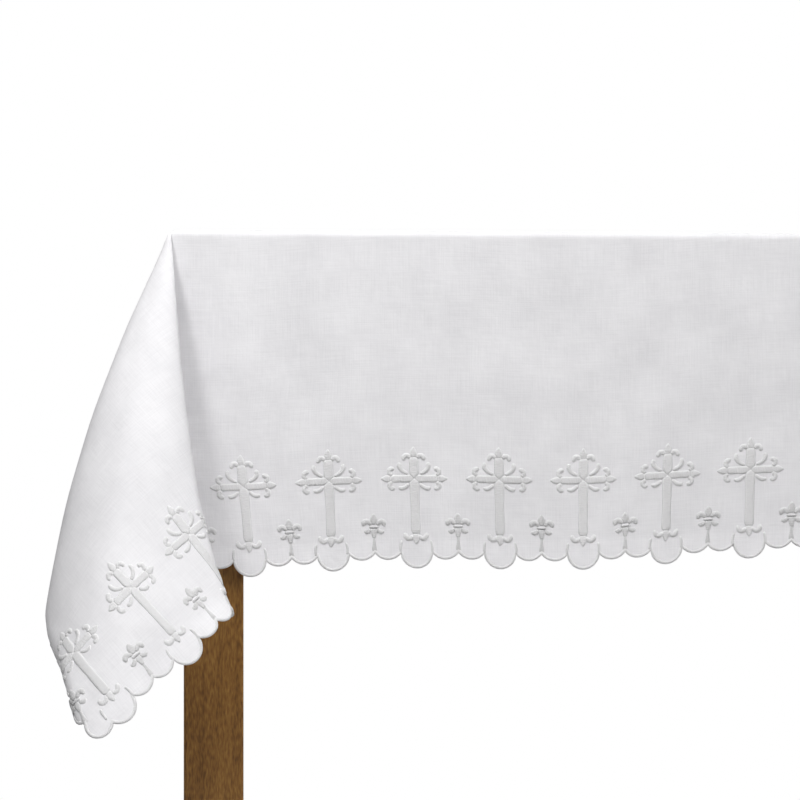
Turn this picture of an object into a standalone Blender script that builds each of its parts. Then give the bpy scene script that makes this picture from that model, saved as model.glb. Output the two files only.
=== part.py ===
"""Altar frontal on a plain wooden table.

A white cloth with a scalloped hem lies over a long table and hangs down on all four sides. At every
corner of the table the spare cloth swings out in one big fold. The origin is on the floor under the
middle of the table, +X runs along the table, -Y is the front and +Z is up. All sizes are in metres.
"""

import math
from typing import NamedTuple

import bmesh
import bpy
import numpy as np
from mathutils import Vector
from mathutils.geometry import delaunay_2d_cdt

COLLECTION_NAME = "altar_frontal"

# Cloth, cut flat: whole repeats of the border each way
PITCH = 0.1016
REPEATS_LONG = 24
REPEATS_WIDE = 13
CLOTH_LENGTH = REPEATS_LONG * PITCH
CLOTH_WIDTH = REPEATS_WIDE * PITCH
CLOTH_THICKNESS = 0.0012
END_DROP = 4.65 * PITCH
FRONT_DROP = 3.95 * PITCH

# Scallops of the hem, heights measured up from the lowest line of the hem
BIG_SCALLOP_RADIUS = 0.0195
SMALL_SCALLOP_RADIUS = 0.020
SMALL_SCALLOP_OFFSET = 0.0348
SMALL_SCALLOP_RISE = 0.0106
CORNER_LOBE_RADIUS = 0.017
CORNER_LOBE_INSET = 0.022
BIG_SCALLOP_STEPS = 6
SMALL_SCALLOP_STEPS = 4

# Table
TABLE_HEIGHT = 0.990
TOP_THICKNESS = 0.030
TOP_EDGE_ROUND = 0.009
TOP_CORNER_ROUND = 0.012
LEG_WIDTH = 0.070
LEG_INSET = 0.0145
LEG_EDGE_ROUND = 0.002
APRON_HEIGHT = 0.095
APRON_THICKNESS = 0.022
APRON_SETBACK = 0.006
JOINT_GAP = 0.0003

# Where the middle of the cloth's thickness lies over the wood
EDGE_CLEARANCE = 0.002
CLOTH_PLANE = TABLE_HEIGHT + JOINT_GAP + CLOTH_THICKNESS / 2
HANG_X = CLOTH_LENGTH / 2 - END_DROP
HANG_Y = CLOTH_WIDTH / 2 - FRONT_DROP
TOP_LENGTH = 2 * (HANG_X - EDGE_CLEARANCE - CLOTH_THICKNESS / 2)
TOP_WIDTH = 2 * (HANG_Y - EDGE_CLEARANCE - CLOTH_THICKNESS / 2)
EDGE_BEND = 0.008
CORNER_SHARE = 0.8

# Angles round a table corner in the flat cloth: 0 runs along the front edge of the table, 90 is
# straight down the front, 180 straight down the end, 270 along the end edge of the table
FRONT_FLAT_UNTIL = math.radians(62.0)
END_FLAT_FROM = math.radians(208.0)
CREST_ANGLE = math.radians(121.5)
NEAR_RADIUS = 0.0
MID_RADIUS = 0.22
FAR_RADIUS = 0.54
LAST_RADIUS = 0.48
SECTION_STEP = 0.04
SECTION_SAMPLES = 147
DEEPEST_SEARCH = 0.5

# Hem that rolls under beside each corner of the cloth, on the end side of the fold
ROLL_WIDTH = 0.053
ROLL_RADIUS = 0.036
ROLL_STARTS = math.radians(139.0)
ROLL_FULL = math.radians(148.5)
ROLL_FADES = math.radians(164.0)
ROLL_ENDS = math.radians(175.0)
PROBE_ANGLE = 0.01

# Mesh of the cloth
FOLD_RADII = (0.012, 0.032, 0.065, 0.11, 0.165, 0.225, 0.285, 0.345, 0.40, 0.455, 0.51, 0.56)
FOLD_ANGLE_STEPS = 40
RING_SKIPS = {0: 4, 1: 2}
FLAT_STEP = 0.124
HEM_ROW_RISE = 0.028
HEM_ROW_STEP = PITCH / 3
ROLL_ROW_RISES = (0.041, 0.054)
INNER_MARGIN = 0.040

# Colours and surfaces
CLOTH_COLOUR = (0.87, 0.87, 0.88, 1.0)
CLOTH_ROUGHNESS = 0.85
WOOD_COLOUR = (0.135, 0.070, 0.024, 1.0)
WOOD_ROUGHNESS = 0.5


class FoldRow(NamedTuple):
    """A point of the fold's section, on a level one unit below the corner of the table.

    inward runs along the front toward the middle of the table, back runs toward its rear, and
    both are given close to the corner, half way down and at the hem.
    """

    name: str
    near_inward: float
    near_back: float
    mid_inward: float
    mid_back: float
    far_inward: float
    far_back: float


FRONT_SIDE_OF_FOLD = (
    FoldRow("front_panel", 0.53, 0.0, 0.53, 0.0, 0.53, 0.0),
    FoldRow("front_behind_fold", 0.25, 0.005, 0.25, 0.01, 0.24, 0.01),
    FoldRow("front_trough", -0.05, -0.03, -0.06, -0.03, -0.09, -0.04),
    FoldRow("fold_side", 0.03, -0.21, 0.01, -0.15, 0.10, -0.17),
    FoldRow("crest", 0.11, -0.34, 0.09, -0.27, 0.215, -0.325),
)
END_SIDE_OF_FOLD = (
    FoldRow("crest", 0.11, -0.34, 0.09, -0.27, 0.215, -0.325),
    FoldRow("turn", 0.02, -0.40, 0.03, -0.34, 0.115, -0.38),
    FoldRow("face", -0.16, -0.38, -0.085, -0.37, -0.095, -0.405),
    FoldRow("cloth_corner", -0.32, -0.28, -0.23, -0.34, -0.245, -0.325),
    FoldRow("shoulder", -0.48, -0.12, -0.40, -0.19, -0.297, -0.17),
    FoldRow("outer_edge", -0.46, 0.03, -0.41, -0.01, -0.262, -0.02),
    FoldRow("behind", -0.26, 0.15, -0.27, 0.10, -0.21, 0.13),
    FoldRow("end_trough", -0.03, 0.24, -0.04, 0.14, -0.03, 0.11),
    FoldRow("end_panel_start", 0.0, 0.38, 0.0, 0.36, 0.0, 0.35),
    FoldRow("end_panel", 0.0, 0.53, 0.0, 0.53, 0.0, 0.53),
)
FRONT_TROUGH = 2
BEHIND_FOLD = 6
END_TROUGH = 7
BEHIND_SHARE = 0.4
BEFORE_FRONT_PANEL = (0.9, 0.0)
AFTER_END_PANEL = (0.0, 0.8)


class CornerRow(NamedTuple):
    """A corner of the table: which way it faces, and how its fold hangs.

    outward and forward are how far the fold swings, roll is how much of its end hem rolls under.
    """

    name: str
    x_side: int
    y_side: int
    outward: float
    forward: float
    roll: float


CORNERS = (
    CornerRow("front_left", -1, -1, 1.0, 1.0, 1.0),
    CornerRow("front_right", 1, -1, 0.98, 1.03, 0.7),
    CornerRow("back_left", -1, 1, 0.99, 1.0, 0.6),
    CornerRow("back_right", 1, 1, 0.97, 0.98, 0.8),
)


class PlacementRow(NamedTuple):
    """How the cloth was laid, at a distance along the front from the table's left corner.

    lift is how far the cloth is drawn back over the top, lean how far the border tips sideways.
    """

    name: str
    along: float
    lift: float
    lean: float


PLACEMENT = (
    PlacementRow("end_hem", -0.50, 0.0, -0.055),
    PlacementRow("left_fold", -0.12, 0.0, -0.055),
    PlacementRow("corner", 0.0, -0.003, 0.05),
    PlacementRow("first_cross", 0.09, -0.003, 0.09),
    PlacementRow("rise", 0.22, 0.005, 0.055),
    PlacementRow("level", 0.34, 0.006, 0.025),
    PlacementRow("dip", 0.49, 0.0035, 0.0),
    PlacementRow("pull", 0.70, 0.016, -0.012),
    PlacementRow("middle", 0.90, 0.019, 0.0),
    PlacementRow("right", 1.20, 0.008, 0.0),
    PlacementRow("right_corner", 2 * HANG_X, 0.0, 0.0),
)
LEAN_PIVOT = 2.9 * PITCH
LEAN_START = 1.6 * PITCH


class Circle(NamedTuple):
    """A round lobe of the hem, in flat cloth coordinates."""

    x: float
    y: float
    radius: float
    steps: int


def smooth_step(values):
    """Return 0 below 0, 1 above 1 and a soft S between."""
    clipped = np.clip(values, 0.0, 1.0)
    return clipped * clipped * (3.0 - 2.0 * clipped)


def smooth_curve(points, before, after, samples=24):
    """Sample a smooth curve through points, its end slopes set by a neighbour on either side."""
    chain = np.vstack([before, points, after])
    step = np.linspace(0.0, 1.0, samples, endpoint=False)[:, None]
    start_weight = 2 * step**3 - 3 * step**2 + 1
    start_slope_weight = step**3 - 2 * step**2 + step
    end_slope_weight = step**3 - step**2
    pieces = []
    for index in range(1, len(chain) - 2):
        start, end = chain[index], chain[index + 1]
        start_slope = (end - chain[index - 1]) / 2
        end_slope = (chain[index + 2] - start) / 2
        pieces.append(
            start_weight * start
            + start_slope_weight * start_slope
            + (1 - start_weight) * end
            + end_slope_weight * end_slope
        )
    pieces.append(chain[-2:-1])
    return np.vstack(pieces)


def unit_directions(level_points):
    """Turn points on the level below the corner into unit directions from the corner."""
    depth = np.full(len(level_points), -1.0)
    directions = np.column_stack([level_points[:, 0], level_points[:, 1], depth])
    return directions / np.linalg.norm(directions, axis=1)[:, None]


def swept_angle(directions):
    """Return the running angle along a chain of unit directions."""
    chords = np.linalg.norm(np.diff(directions, axis=0), axis=1)
    return np.concatenate([[0.0], np.cumsum(2 * np.arcsin(np.clip(chords / 2, 0.0, 1.0)))])


def deepen_until(build, wanted_angle):
    """Find how deep a hidden trough has to be for the section to hold all of the cloth."""
    lowest, highest = -DEEPEST_SEARCH / 2, DEEPEST_SEARCH
    for _ in range(36):
        depth = (lowest + highest) / 2
        if swept_angle(build(depth))[-1] < wanted_angle:
            lowest = depth
        else:
            highest = depth
    return build((lowest + highest) / 2)


def section_points(rows, radius, corner):
    """Read the rows at a distance from the corner of the table, swung as this corner's fold is."""
    near = (radius - MID_RADIUS) * (radius - FAR_RADIUS)
    near /= (NEAR_RADIUS - MID_RADIUS) * (NEAR_RADIUS - FAR_RADIUS)
    mid = (radius - NEAR_RADIUS) * (radius - FAR_RADIUS)
    mid /= (MID_RADIUS - NEAR_RADIUS) * (MID_RADIUS - FAR_RADIUS)
    far = 1.0 - near - mid
    points = []
    for row in rows:
        inward = near * row.near_inward + mid * row.mid_inward + far * row.far_inward
        back = near * row.near_back + mid * row.mid_back + far * row.far_back
        if inward < 0.0:
            inward *= corner.outward
        if back < 0.0:
            back *= corner.forward
        points.append((inward, back))
    return np.array(points)


def fold_section(radius, corner):
    """Return evenly spread directions from the flat front panel round the fold to the end panel."""
    radius = min(radius, LAST_RADIUS)
    front = section_points(FRONT_SIDE_OF_FOLD, radius, corner)
    end = section_points(END_SIDE_OF_FOLD, radius, corner)

    def front_half(depth):
        points = front.copy()
        points[FRONT_TROUGH, 0] -= depth
        return unit_directions(smooth_curve(points, BEFORE_FRONT_PANEL, end[1]))

    def end_half(depth):
        points = end.copy()
        points[END_TROUGH, 1] -= depth
        points[BEHIND_FOLD, 1] -= BEHIND_SHARE * depth
        return unit_directions(smooth_curve(points, front[-2], AFTER_END_PANEL))

    front_directions = deepen_until(front_half, CREST_ANGLE - FRONT_FLAT_UNTIL)
    end_directions = deepen_until(end_half, END_FLAT_FROM - CREST_ANGLE)
    directions = np.vstack([front_directions[:-1], end_directions])
    angles = swept_angle(directions)
    even = np.linspace(0.0, angles[-1], SECTION_SAMPLES)
    return np.column_stack([np.interp(even, angles, directions[:, axis]) for axis in range(3)])


class CornerFold:
    """The fold at one corner: directions from the corner by distance and by flat angle."""

    def __init__(self, corner):
        self.corner = corner
        count = math.ceil(math.hypot(END_DROP, FRONT_DROP) / SECTION_STEP) + 2
        self.sections = np.array([fold_section(row * SECTION_STEP, corner) for row in range(count)])

    def direction(self, radius, angle):
        """Return unit directions for flat polar places round the corner."""
        directions = np.zeros((len(radius), 3))
        front = angle <= FRONT_FLAT_UNTIL
        directions[front, 0] = np.cos(angle[front])
        directions[front, 2] = -np.sin(angle[front])
        end = angle >= END_FLAT_FROM
        directions[end, 1] = -np.sin(angle[end])
        directions[end, 2] = np.cos(angle[end])
        free = ~(front | end)
        row = np.clip(radius[free] / SECTION_STEP, 0.0, len(self.sections) - 1.001)
        span = END_FLAT_FROM - FRONT_FLAT_UNTIL
        column = (angle[free] - FRONT_FLAT_UNTIL) / span * (SECTION_SAMPLES - 1)
        column = np.clip(column, 0.0, SECTION_SAMPLES - 1.001)
        low_row, low_column = row.astype(int), column.astype(int)
        row_share = (row - low_row)[:, None]
        column_share = (column - low_column)[:, None]
        nearer = (
            self.sections[low_row, low_column] * (1 - column_share)
            + self.sections[low_row, low_column + 1] * column_share
        )
        farther = (
            self.sections[low_row + 1, low_column] * (1 - column_share)
            + self.sections[low_row + 1, low_column + 1] * column_share
        )
        mixed = nearer * (1 - row_share) + farther * row_share
        directions[free] = mixed / np.linalg.norm(mixed, axis=1)[:, None]
        return directions

    def roll_under(self, radius, angle):
        """Return how far the rolled hem moves each place, along its own line and toward the inside."""
        rise = smooth_step((angle - ROLL_STARTS) / (ROLL_FULL - ROLL_STARTS))
        fall = smooth_step((angle - ROLL_FADES) / (ROLL_ENDS - ROLL_FADES))
        width = ROLL_WIDTH * self.corner.roll * rise * (1.0 - fall)
        rolls = width > 0.0
        moves = np.zeros((len(radius), 3))
        hem = END_DROP / -np.cos(angle[rolls])
        past_line = np.maximum(radius[rolls] - hem + width[rolls], 0.0)
        along = self.direction(radius[rolls], angle[rolls])
        beside = self.direction(radius[rolls], angle[rolls] + PROBE_ANGLE) - along
        inside = np.cross(along, beside)
        inside /= np.linalg.norm(inside, axis=1)[:, None]
        turn = past_line / ROLL_RADIUS
        moves[rolls] = (ROLL_RADIUS * np.sin(turn) - past_line)[:, None] * along
        moves[rolls] += (ROLL_RADIUS * (1.0 - np.cos(turn)))[:, None] * inside
        return moves


def edge_bend(past_edge):
    """Return how far the rounded edge lies inside and below the sharp one."""
    turn = (np.clip(past_edge / EDGE_BEND, -1.0, 1.0) + 1) * math.pi / 4
    held = np.clip(past_edge, -EDGE_BEND, EDGE_BEND)
    inside = EDGE_BEND - EDGE_BEND * np.sin(turn) + np.minimum(held, 0.0)
    below = EDGE_BEND - EDGE_BEND * np.cos(turn) - np.maximum(held, 0.0)
    return inside, below


def local_drape(fold, inward, past_front):
    """Drape flat places round one corner.

    inward is the distance from the corner toward the middle of the table, past_front the distance
    past the front edge. Returns distances inward, backward and up from the corner.
    """
    radius = np.hypot(inward, past_front)
    angle = np.mod(np.arctan2(past_front, inward), 2 * math.pi)
    places = radius[:, None] * fold.direction(radius, np.minimum(angle, 1.5 * math.pi))
    places += fold.roll_under(radius, angle)
    on_top = (inward >= 0.0) & (past_front <= 0.0)
    places[on_top] = np.column_stack([inward, -past_front, np.zeros(len(inward))])[on_top]
    front_inside, front_below = edge_bend(past_front)
    end_inside, end_below = edge_bend(-inward)
    front_share = 1.0 - smooth_step(-inward / (2 * EDGE_BEND))
    end_share = 1.0 - smooth_step(past_front / (2 * EDGE_BEND))
    places[:, 0] += end_inside * end_share
    places[:, 1] += front_inside * front_share
    front_below = front_below * front_share
    end_below = end_below * end_share
    places[:, 2] -= front_below + end_below - CORNER_SHARE * np.minimum(front_below, end_below)
    return places


def placement_at(x):
    """Return the lift and the lean of the cloth at places along the table."""
    rows = np.array([(row.along, row.lift, row.lean) for row in PLACEMENT])
    smooth = smooth_curve(rows, 2 * rows[0] - rows[1], 2 * rows[-1] - rows[-2])
    from_corner = x + HANG_X
    lift = np.interp(from_corner, smooth[:, 0], smooth[:, 1])
    lean = np.interp(from_corner, smooth[:, 0], smooth[:, 2])
    return lift, lean


def lay_on_table(flat):
    """Move flat places to where the cloth was laid: drawn back unevenly, the border leaning."""
    lift, lean = placement_at(flat[:, 0])
    laid_y = flat[:, 1] + lift
    drop = -HANG_Y - laid_y
    ramp = smooth_step((drop - LEAN_START) / PITCH)
    laid_x = flat[:, 0] + lean * ramp * (drop - LEAN_PIVOT)
    return np.column_stack([laid_x, laid_y])


def take_off_table(laid):
    """Return the flat places of the cloth that lie at places over the table or near its edges."""
    laid = np.array(laid)
    lift, _ = placement_at(laid[:, 0])
    return [tuple(place) for place in np.column_stack([laid[:, 0], laid[:, 1] - lift])]


def drape(flat):
    """Map flat cloth places, centred on the cloth, to places in the room."""
    laid = lay_on_table(flat)
    room = np.zeros((len(flat), 3))
    for corner in CORNERS:
        fold = CornerFold(corner)
        nearest_x = laid[:, 0] * corner.x_side > 0 if corner.x_side > 0 else laid[:, 0] <= 0
        nearest_y = laid[:, 1] * corner.y_side > 0 if corner.y_side > 0 else laid[:, 1] <= 0
        nearest = nearest_x & nearest_y
        inward = HANG_X - laid[nearest, 0] * corner.x_side
        past_front = laid[nearest, 1] * corner.y_side - HANG_Y
        places = local_drape(fold, inward, past_front)
        room[nearest, 0] = corner.x_side * (HANG_X - places[:, 0])
        room[nearest, 1] = corner.y_side * (HANG_Y - places[:, 1])
        room[nearest, 2] = CLOTH_PLANE + places[:, 2]
    return room


def side_circles(repeats):
    """Return the lobes of one side of the hem, along it and up from its lowest line."""
    small_height = SMALL_SCALLOP_RISE + SMALL_SCALLOP_RADIUS
    lobes = []
    for repeat in range(repeats):
        middle = (repeat + 0.5) * PITCH
        if repeat > 0:
            before = middle - SMALL_SCALLOP_OFFSET
            lobes.append(Circle(before, small_height, SMALL_SCALLOP_RADIUS, SMALL_SCALLOP_STEPS))
        lobes.append(Circle(middle, BIG_SCALLOP_RADIUS, BIG_SCALLOP_RADIUS, BIG_SCALLOP_STEPS))
        if repeat < repeats - 1:
            after = middle + SMALL_SCALLOP_OFFSET
            lobes.append(Circle(after, small_height, SMALL_SCALLOP_RADIUS, SMALL_SCALLOP_STEPS))
    return lobes


def hem_circles():
    """Return every lobe of the hem in order, anticlockwise from the front left corner."""
    half_length, half_width = CLOTH_LENGTH / 2, CLOTH_WIDTH / 2
    sides = (
        (-half_length, -half_width, 1, 0, REPEATS_LONG),
        (half_length, -half_width, 0, 1, REPEATS_WIDE),
        (half_length, half_width, -1, 0, REPEATS_LONG),
        (-half_length, half_width, 0, -1, REPEATS_WIDE),
    )
    circles = []
    for start_x, start_y, along_x, along_y, repeats in sides:
        corner_x = start_x + (along_x - along_y) * CORNER_LOBE_INSET
        corner_y = start_y + (along_y + along_x) * CORNER_LOBE_INSET
        circles.append(Circle(corner_x, corner_y, CORNER_LOBE_RADIUS, BIG_SCALLOP_STEPS))
        for lobe in side_circles(repeats):
            x = start_x + along_x * lobe.x - along_y * lobe.y
            y = start_y + along_y * lobe.x + along_x * lobe.y
            circles.append(Circle(x, y, lobe.radius, lobe.steps))
    return circles


def outer_crossing(first, second):
    """Return where two neighbouring lobes meet on the outer side of the hem."""
    between = Vector((second.x - first.x, second.y - first.y))
    distance = between.length
    reach = (distance**2 + first.radius**2 - second.radius**2) / (2 * distance)
    height = math.sqrt(first.radius**2 - reach**2)
    forward = between / distance
    outward = Vector((forward.y, -forward.x))
    return Vector((first.x, first.y)) + reach * forward + height * outward


def hem_outline():
    """Return the scalloped outline of the flat cloth as one anticlockwise loop of arcs."""
    circles = hem_circles()
    points = []
    for index, circle in enumerate(circles):
        start = outer_crossing(circles[index - 1], circle)
        end = outer_crossing(circle, circles[(index + 1) % len(circles)])
        centre = Vector((circle.x, circle.y))
        start_angle = math.atan2(start.y - centre.y, start.x - centre.x)
        sweep = math.atan2(end.y - centre.y, end.x - centre.x) - start_angle
        sweep %= 2 * math.pi
        for step in range(circle.steps):
            angle = start_angle + sweep * step / circle.steps
            points.append(centre + circle.radius * Vector((math.cos(angle), math.sin(angle))))
    return points


def hem_row():
    """Return a row of points a little inside the hem, all the way round."""
    half_length, half_width = CLOTH_LENGTH / 2 - HEM_ROW_RISE, CLOTH_WIDTH / 2 - HEM_ROW_RISE
    long_steps = round(2 * half_length / HEM_ROW_STEP)
    wide_steps = round(2 * half_width / HEM_ROW_STEP)
    points = []
    for x in np.linspace(-half_length, half_length, long_steps + 1):
        points += [(x, -half_width), (x, half_width)]
    for y in np.linspace(-half_width, half_width, wide_steps + 1)[1:-1]:
        points += [(-half_length, y), (half_length, y)]
    return points


def roll_rows():
    """Return rows of points where the end hems roll under, beside the corners of the cloth."""
    nearest = END_DROP * math.tan(math.pi - ROLL_ENDS)
    steps = round((FRONT_DROP - nearest) / HEM_ROW_STEP)
    points = []
    for corner in CORNERS:
        for rise in ROLL_ROW_RISES:
            x = corner.x_side * (CLOTH_LENGTH / 2 - rise)
            for past_front in np.linspace(nearest, FRONT_DROP - HEM_ROW_RISE, steps)[:-1]:
                points.append((x, corner.y_side * (HANG_Y + past_front)))
    return points


def places_along(half_length):
    """Return places along an edge of the table, closer together near its ends."""
    near_end = [EDGE_BEND / 3, EDGE_BEND, 3 * EDGE_BEND]
    steps = math.ceil(2 * half_length / FLAT_STEP)
    even = np.linspace(-half_length, half_length, steps + 1)[1:-1]
    return [near - half_length for near in near_end] + list(even) + [half_length - near for near in near_end]


def bend_rows():
    """Return rows of points along the edges of the table, where the cloth bends over them."""
    points = []
    for offset in (-EDGE_BEND, -EDGE_BEND / 3, EDGE_BEND / 3, EDGE_BEND):
        for x in places_along(HANG_X):
            points += [(x, -HANG_Y - offset), (x, HANG_Y + offset)]
        for y in places_along(HANG_Y):
            points += [(-HANG_X - offset, y), (HANG_X + offset, y)]
    return points


def fold_points():
    """Return rings of points round each corner of the table, over the cloth that hangs free."""
    angles = np.linspace(FRONT_FLAT_UNTIL, END_FLAT_FROM, FOLD_ANGLE_STEPS + 1)
    points = []
    for corner in CORNERS:
        points.append((corner.x_side * HANG_X, corner.y_side * HANG_Y))
        for ring, radius in enumerate(FOLD_RADII):
            skip = RING_SKIPS.get(ring, 1)
            for angle in angles[::skip]:
                inward = radius * math.cos(angle)
                past_front = radius * math.sin(angle)
                points.append((corner.x_side * (HANG_X - inward), corner.y_side * (HANG_Y + past_front)))
    return points


def keep_inside(points):
    """Keep the points that lie well inside the hem."""
    kept = []
    for x, y in points:
        if abs(x) > CLOTH_LENGTH / 2 - INNER_MARGIN or abs(y) > CLOTH_WIDTH / 2 - INNER_MARGIN:
            continue
        kept.append((x, y))
    return kept


def lies_outside(triangle, outline_count):
    """Tell whether a triangle fills a notch between two scallops.

    Such a triangle has all three corners on the outline, and they turn against it.
    """
    if max(triangle) >= outline_count:
        return False
    turned = triangle.index(min(triangle))
    first, second, third = triangle[turned:] + triangle[:turned]
    return not first < second < third


def flat_cloth_mesh():
    """Triangulate the flat cloth and return its places and its triangles."""
    outline = hem_outline()
    inner = hem_row() + roll_rows() + keep_inside(take_off_table(bend_rows() + fold_points()))
    points = outline + [Vector(point) for point in inner]
    border = list(range(len(outline)))
    result = delaunay_2d_cdt(points, [], [border], 1, 1e-5, False)
    flat = np.array([(point.x, point.y) for point in result[0]])
    triangles = [list(face) for face in result[2]]
    return flat, [face for face in triangles if not lies_outside(face, len(outline))]


def material(name, colour, roughness):
    """Return a plain surface of one colour."""
    surface = bpy.data.materials.new(name)
    surface.use_nodes = True
    shader = surface.node_tree.nodes["Principled BSDF"]
    shader.inputs["Base Color"].default_value = colour
    shader.inputs["Roughness"].default_value = roughness
    shader.inputs["Metallic"].default_value = 0.0
    return surface


def place_in_collection(piece, collection, surface):
    """Put a piece in the object's collection and give it its surface."""
    for other in list(piece.users_collection):
        other.objects.unlink(piece)
    collection.objects.link(piece)
    piece.data.materials.clear()
    piece.data.materials.append(surface)


def build_cloth(collection):
    """Build the draped cloth with its scalloped hem as one solid sheet."""
    flat, triangles = flat_cloth_mesh()
    sheet = bpy.data.meshes.new("cloth")
    sheet.from_pydata(drape(flat).tolist(), [], triangles)
    cloth = bpy.data.objects.new("cloth", sheet)
    collection.objects.link(cloth)
    sheet.materials.append(material("white_linen", CLOTH_COLOUR, CLOTH_ROUGHNESS))
    thickness = cloth.modifiers.new("thickness", "SOLIDIFY")
    thickness.thickness = CLOTH_THICKNESS
    thickness.offset = 0.0
    sheet.shade_smooth()
    return cloth


def build_board(name, size, centre, edge_round, steps, collection, corner_round=0.0):
    """Build a wooden board, leg or rail as a block with eased edges."""
    bpy.ops.mesh.primitive_cube_add(size=1.0, location=centre)
    board = bpy.context.active_object
    board.name = name
    board.data.name = name
    board.scale = size
    bpy.ops.object.transform_apply(location=False, rotation=False, scale=True)
    if corner_round > 0.0:
        shape = bmesh.new()
        shape.from_mesh(board.data)
        upright = [e for e in shape.edges if abs(e.verts[0].co.z - e.verts[1].co.z) > size[2] / 2]
        bmesh.ops.bevel(shape, geom=upright, offset=corner_round, segments=4, profile=0.5, affect="EDGES")
        shape.to_mesh(board.data)
        shape.free()
    easing = board.modifiers.new("eased_edges", "BEVEL")
    easing.width = edge_round
    easing.segments = steps
    easing.limit_method = "ANGLE"
    easing.angle_limit = math.radians(60.0)
    place_in_collection(board, collection, material(f"{name}_wood", WOOD_COLOUR, WOOD_ROUGHNESS))
    return board


def build_table(collection):
    """Build the table: a top, four square legs and the rails between them."""
    leg_height = TABLE_HEIGHT - TOP_THICKNESS - JOINT_GAP
    build_board(
        "tabletop",
        (TOP_LENGTH, TOP_WIDTH, TOP_THICKNESS),
        (0.0, 0.0, TABLE_HEIGHT - TOP_THICKNESS / 2),
        TOP_EDGE_ROUND,
        4,
        collection,
        TOP_CORNER_ROUND,
    )
    leg_x = TOP_LENGTH / 2 - LEG_INSET - LEG_WIDTH / 2
    leg_y = TOP_WIDTH / 2 - LEG_INSET - LEG_WIDTH / 2
    for corner in CORNERS:
        build_board(
            f"leg_{corner.name}",
            (LEG_WIDTH, LEG_WIDTH, leg_height),
            (corner.x_side * leg_x, corner.y_side * leg_y, leg_height / 2),
            LEG_EDGE_ROUND,
            2,
            collection,
        )
    rail_height = leg_height - APRON_HEIGHT / 2
    long_rail = 2 * leg_x - LEG_WIDTH - 2 * JOINT_GAP
    short_rail = 2 * leg_y - LEG_WIDTH - 2 * JOINT_GAP
    rail_y = leg_y + LEG_WIDTH / 2 - APRON_SETBACK - APRON_THICKNESS / 2
    rail_x = leg_x + LEG_WIDTH / 2 - APRON_SETBACK - APRON_THICKNESS / 2
    rails = (
        ("apron_front", (long_rail, APRON_THICKNESS, APRON_HEIGHT), (0.0, -rail_y, rail_height)),
        ("apron_back", (long_rail, APRON_THICKNESS, APRON_HEIGHT), (0.0, rail_y, rail_height)),
        ("apron_left", (APRON_THICKNESS, short_rail, APRON_HEIGHT), (-rail_x, 0.0, rail_height)),
        ("apron_right", (APRON_THICKNESS, short_rail, APRON_HEIGHT), (rail_x, 0.0, rail_height)),
    )
    for name, size, centre in rails:
        build_board(name, size, centre, LEG_EDGE_ROUND, 2, collection)


def main():
    """Clear the scene and build the cloth and the table under it."""
    for old in list(bpy.data.objects):
        bpy.data.objects.remove(old, do_unlink=True)
    collection = bpy.data.collections.new(COLLECTION_NAME)
    bpy.context.scene.collection.children.link(collection)
    build_table(collection)
    build_cloth(collection)


if __name__ == "__main__":
    main()
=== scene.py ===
"""Altar frontal on a plain wooden table.

The linen cloth is laid again, finer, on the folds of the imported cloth. It differs in two places: it
stands a little proud along the table's edges, and its back hem hangs more evenly. Its satin-stitched
edge, its crosses and its small flowers are sewn on the flat cloth and carried by the same folds.
+X runs along the table, -Y is the front and +Z is up. Sizes are in metres, but the charts of the
embroidery are in millimetres.
"""

import sys
import logging
import math
from dataclasses import dataclass, field
from enum import Enum
from typing import Callable, NamedTuple

import bpy
import numpy as np
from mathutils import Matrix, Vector
from mathutils.geometry import delaunay_2d_cdt


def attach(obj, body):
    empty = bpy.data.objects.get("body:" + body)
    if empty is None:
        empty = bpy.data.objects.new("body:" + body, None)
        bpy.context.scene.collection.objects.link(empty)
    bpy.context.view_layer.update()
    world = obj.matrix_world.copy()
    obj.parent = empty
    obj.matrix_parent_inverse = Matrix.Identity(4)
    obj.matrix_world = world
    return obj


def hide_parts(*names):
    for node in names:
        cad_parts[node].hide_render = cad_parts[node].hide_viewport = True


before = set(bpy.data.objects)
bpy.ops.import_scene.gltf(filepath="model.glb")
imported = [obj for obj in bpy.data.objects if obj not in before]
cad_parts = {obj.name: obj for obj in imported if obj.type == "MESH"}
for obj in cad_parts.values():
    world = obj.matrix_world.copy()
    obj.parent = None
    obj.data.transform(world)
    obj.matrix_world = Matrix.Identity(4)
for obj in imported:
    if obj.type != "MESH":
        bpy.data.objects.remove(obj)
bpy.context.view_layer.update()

FloatArray = np.ndarray
Triple = tuple[float, float, float]
Colour = tuple[float, ...]
Socket = bpy.types.NodeSocket
Material = bpy.types.Material
Piece = bpy.types.Object

LOG = logging.getLogger("altar_frontal")
# Share at each place that picks painted light: the painted highlight and painted shade across the thread
# strokes, and the painted brightening near the linen's hem
RIM_ATTRIBUTE = "rim"
TONE_ATTRIBUTE = "tone"
BODY = "root"
MM = 0.001

# Cloth, cut flat
PITCH = 0.1016
REPEATS_LONG = 24
REPEATS_WIDE = 13
CLOTH_LENGTH = REPEATS_LONG * PITCH
CLOTH_WIDTH = REPEATS_WIDE * PITCH
END_DROP = 4.65 * PITCH
FRONT_DROP = 3.95 * PITCH
HANG_X = CLOTH_LENGTH / 2 - END_DROP
HANG_Y = CLOTH_WIDTH / 2 - FRONT_DROP
CLOTH_PLANE = 0.9909
EDGE_BEND = 0.006
EDGE_LOFT = 0.0055
LOFT_ON_TOP = 0.045
LOFT_BELOW = 0.018
CORNER_SHARE = 0.8

# Scallops of the hem, heights measured up from the lowest line of the hem
BIG_SCALLOP_RADIUS = 0.0195
SMALL_SCALLOP_RADIUS = 0.020
SMALL_SCALLOP_OFFSET = 0.0348
SMALL_SCALLOP_RISE = 0.0106
CORNER_LOBE_RADIUS = 0.017
CORNER_LOBE_INSET = 0.022

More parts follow.
